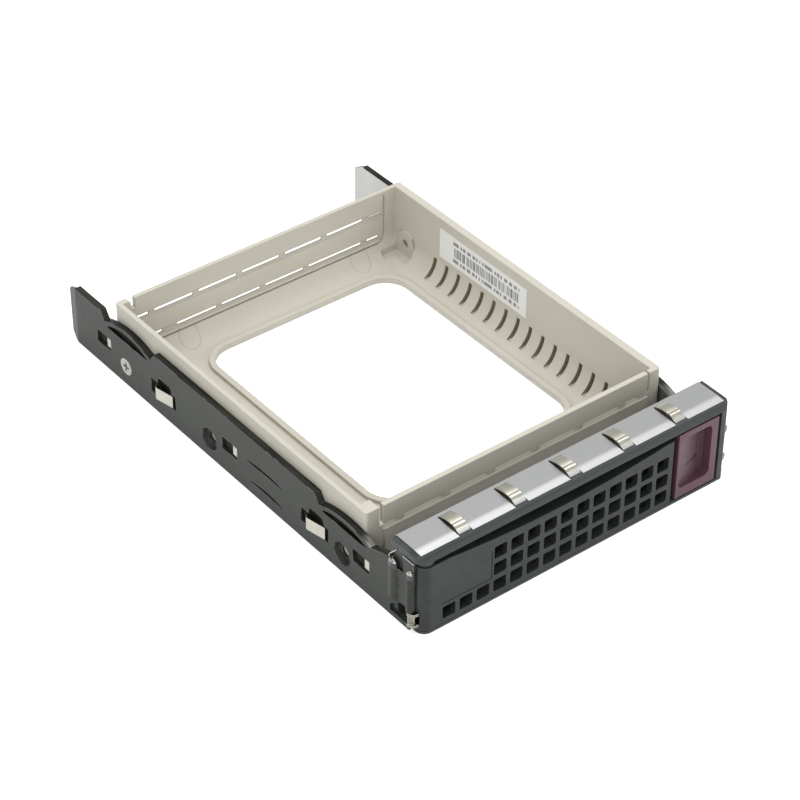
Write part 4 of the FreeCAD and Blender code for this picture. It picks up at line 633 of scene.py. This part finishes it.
def add_prism(form, outline, depth):
    """A flat outline of points pushed out along one direction."""
    side = form.faces.new([form.verts.new(point) for point in outline])
    grown = bmesh.ops.extrude_face_region(form, geom=[side])["geom"]
    far = [part for part in grown if isinstance(part, bmesh.types.BMVert)]
    bmesh.ops.translate(form, verts=far, vec=depth)


def add_strip(form, left, right, thickness, points):
    """A thin strip bent along points in the side view."""
    rail = [form.verts.new((left, along, up)) for along, up in points]
    edges = [form.edges.new(pair) for pair in zip(rail, rail[1:])]
    wide = bmesh.ops.extrude_edge_only(form, edges=edges)["geom"]
    moved = [part for part in wide if isinstance(part, bmesh.types.BMVert)]
    bmesh.ops.translate(form, verts=moved, vec=(right - left, 0, 0))
    bmesh.ops.solidify(form, geom=list(form.faces), thickness=thickness)


def bow_middles():
    """Where the bowed fingers stand across the beam."""
    return [BOW_FIRST + BOW_PITCH * number for number in range(BOW_COUNT)]


def bow_height(along):
    """The level of a bowed finger's top at a place along it."""
    return BOW_CREST[1] - BOW_FALL * (along - BOW_CREST[0]) ** 2


def fold_outline():
    """The side view of a finger's fold, sunk a little into the finger."""
    outline = []
    for step in range(FOLD_STEPS + 1):
        share = step / FOLD_STEPS
        along = FOLD_REAR + (FOLD_FRONT - FOLD_REAR) * share
        rise = FOLD_RISE * math.sin(math.pi * share) ** 2
        outline.append((along, bow_height(along) + rise))
    outline += [(along, bow_height(along) - FOLD_SUNK) for along in (FOLD_FRONT, FOLD_REAR)]
    return outline


def lay_bow_beds(finish):
    """The sheet that shows under each bowed finger."""
    form = bmesh.new()
    for middle in bow_middles():
        low = (middle - BED_WIDTH / 2, BED_FRONT, BEAM_TOP)
        high = (middle + BED_WIDTH / 2, BED_REAR, BEAM_TOP + BED_THICK)
        add_block(form, low, high, BED_BEVEL)
    place_piece("bow_beds", form, finish, "tray")


def fold_bows(finish):
    """A rounded fold across each bowed finger, behind its foot."""
    form = bmesh.new()
    for middle in bow_middles():
        left = middle - BOW_WIDTH / 2
        outline = [(left, along, up) for along, up in fold_outline()]
        add_prism(form, outline, (BOW_WIDTH, 0, 0))
    place_piece("bow_folds", form, finish, "tray", smooth=True)


def cap_beads(finish):
    """Rounded bright tops on the left rail's two upright beads."""
    form = bmesh.new()
    for middle, radii in BEAD_DOMES:
        add_dome(form, middle, radii)
    place_piece("bead_caps", form, finish, "tray", smooth=True)


def edge_tab(finish):
    """The bare cut edge on top of the left rail's front tab."""
    form = bmesh.new()
    add_block(form, TAB_EDGE_LOW, TAB_EDGE_HIGH, TAB_EDGE_BEVEL)
    place_piece("tab_edge", form, finish, "tray")


def curl_strip(finish):
    """The small sprung curl between the rear bead and the beam's left end."""
    form = bmesh.new()
    add_strip(form, *CURL_SIDES, CURL_THICK, CURL_BEND)
    place_piece("contact_curl", form, finish, "tray", smooth=True)


def raise_arrow(finish):
    """A plain arrow that points the way the latch slides, on the pocket's sloping floor."""
    form = bmesh.new()
    outline = [(across, 0.0, ARROW_LEVEL + up) for across, up in ARROW_OUTLINE]
    add_prism(form, outline, (0, ARROW_PROUD * 2, 0))
    start, floor = POCKET_START
    for vert in form.verts:
        vert.co.y += floor + (vert.co.x - start) * POCKET_SLOPE - ARROW_PROUD
    place_piece("latch_arrow", form, finish, "latch_slider")


def add_small_pieces(shield):
    """The small bright trim at the beam and the beads, and the latch's arrow."""
    contact = contact_steel()
    lay_bow_beds(contact)
    fold_bows(shield)
    cap_beads(bead_steel())
    edge_tab(contact)
    curl_strip(contact)
    raise_arrow(mark_moulding())


def lay_floor():
    """A wide pale floor that the camera sees as white, with the object's soft shadow on it."""
    bpy.ops.mesh.primitive_plane_add(size=FLOOR_SIZE, location=(0, 0, 0))
    floor = bpy.context.object
    floor.name = "floor"
    finish = Finish("floor_white", gloss=0.1)
    rays = finish.add("ShaderNodeLightPath")
    seen = (rays["Is Camera Ray"] + rays["Is Glossy Ray"]).limited()
    glow = (FLOOR_GLOW, FLOOR_GLOW, FLOOR_GLOW, 1)
    finish.drive("Base Color", (FLOOR_GREY, FLOOR_GREY, FLOOR_GREY, 1))
    finish.drive("Roughness", FLOOR_ROUGH)
    finish.drive("Emission Strength", 1.0)
    finish.drive("Emission Color", finish.blend(seen, (0, 0, 0, 1), glow))
    floor.data.materials.append(finish.material)


def add_softbox(name, place, width, height, power):
    """A rectangular lamp that faces the tray."""
    lamp = bpy.data.lights.new(name, "AREA")
    lamp.shape = "RECTANGLE"
    lamp.size = width
    lamp.size_y = height
    lamp.energy = power
    holder = bpy.data.objects.new(name, lamp)
    holder.location = place
    holder.rotation_euler = (Vector(LAMP_AIM) - Vector(place)).to_track_quat("-Z", "Y").to_euler()
    scene.collection.objects.link(holder)


def light_studio():
    """A room that the camera sees as white, with a large softbox overhead and two weaker ones."""
    world = bpy.data.worlds.new("studio")
    world.use_nodes = True
    room = Graph(world.node_tree)
    background = room.tree.nodes["Background"]
    seen = room.add("ShaderNodeLightPath")["Is Camera Ray"]
    room.feed(background.inputs["Color"], (1, 1, 1, 1))
    room.feed(background.inputs["Strength"], ROOM_LIGHT + (1.0 - ROOM_LIGHT) * seen)
    scene.world = world
    for softbox in SOFTBOXES:
        add_softbox(*softbox)


def camera_axes():
    """The camera's right, up and back directions."""
    level = math.cos(CAMERA_ELEVATION)
    back = Vector((
        math.sin(CAMERA_AZIMUTH) * level,
        -math.cos(CAMERA_AZIMUTH) * level,
        math.sin(CAMERA_ELEVATION),
    ))
    right = Vector((math.cos(CAMERA_AZIMUTH), math.sin(CAMERA_AZIMUTH), 0))
    up = back.cross(right)
    tilted_right = right * math.cos(CAMERA_ROLL) + up * math.sin(CAMERA_ROLL)
    tilted_up = up * math.cos(CAMERA_ROLL) - right * math.sin(CAMERA_ROLL)
    return tilted_right, tilted_up, back


def set_camera():
    """A long lens from the left front, above the tray."""
    right, up, back = camera_axes()
    lens = bpy.data.cameras.new("photo_view")
    lens.sensor_width = SENSOR
    lens.lens = FOCAL_PIXELS / IMAGE_WIDTH * SENSOR
    lens.clip_start = CLIP_START
    camera = bpy.data.objects.new("photo_view", lens)
    turn = Matrix((right, up, back)).transposed().to_4x4()
    place = Vector(CAMERA_TARGET) * MM + back * CAMERA_DISTANCE * MM
    camera.matrix_world = Matrix.Translation(place) @ turn
    scene.collection.objects.link(camera)
    scene.camera = camera


shield = shield_film()
dress_all(shield)
add_small_pieces(shield)
lay_floor()
light_studio()
set_camera()
scene.view_settings.view_transform = "Standard"
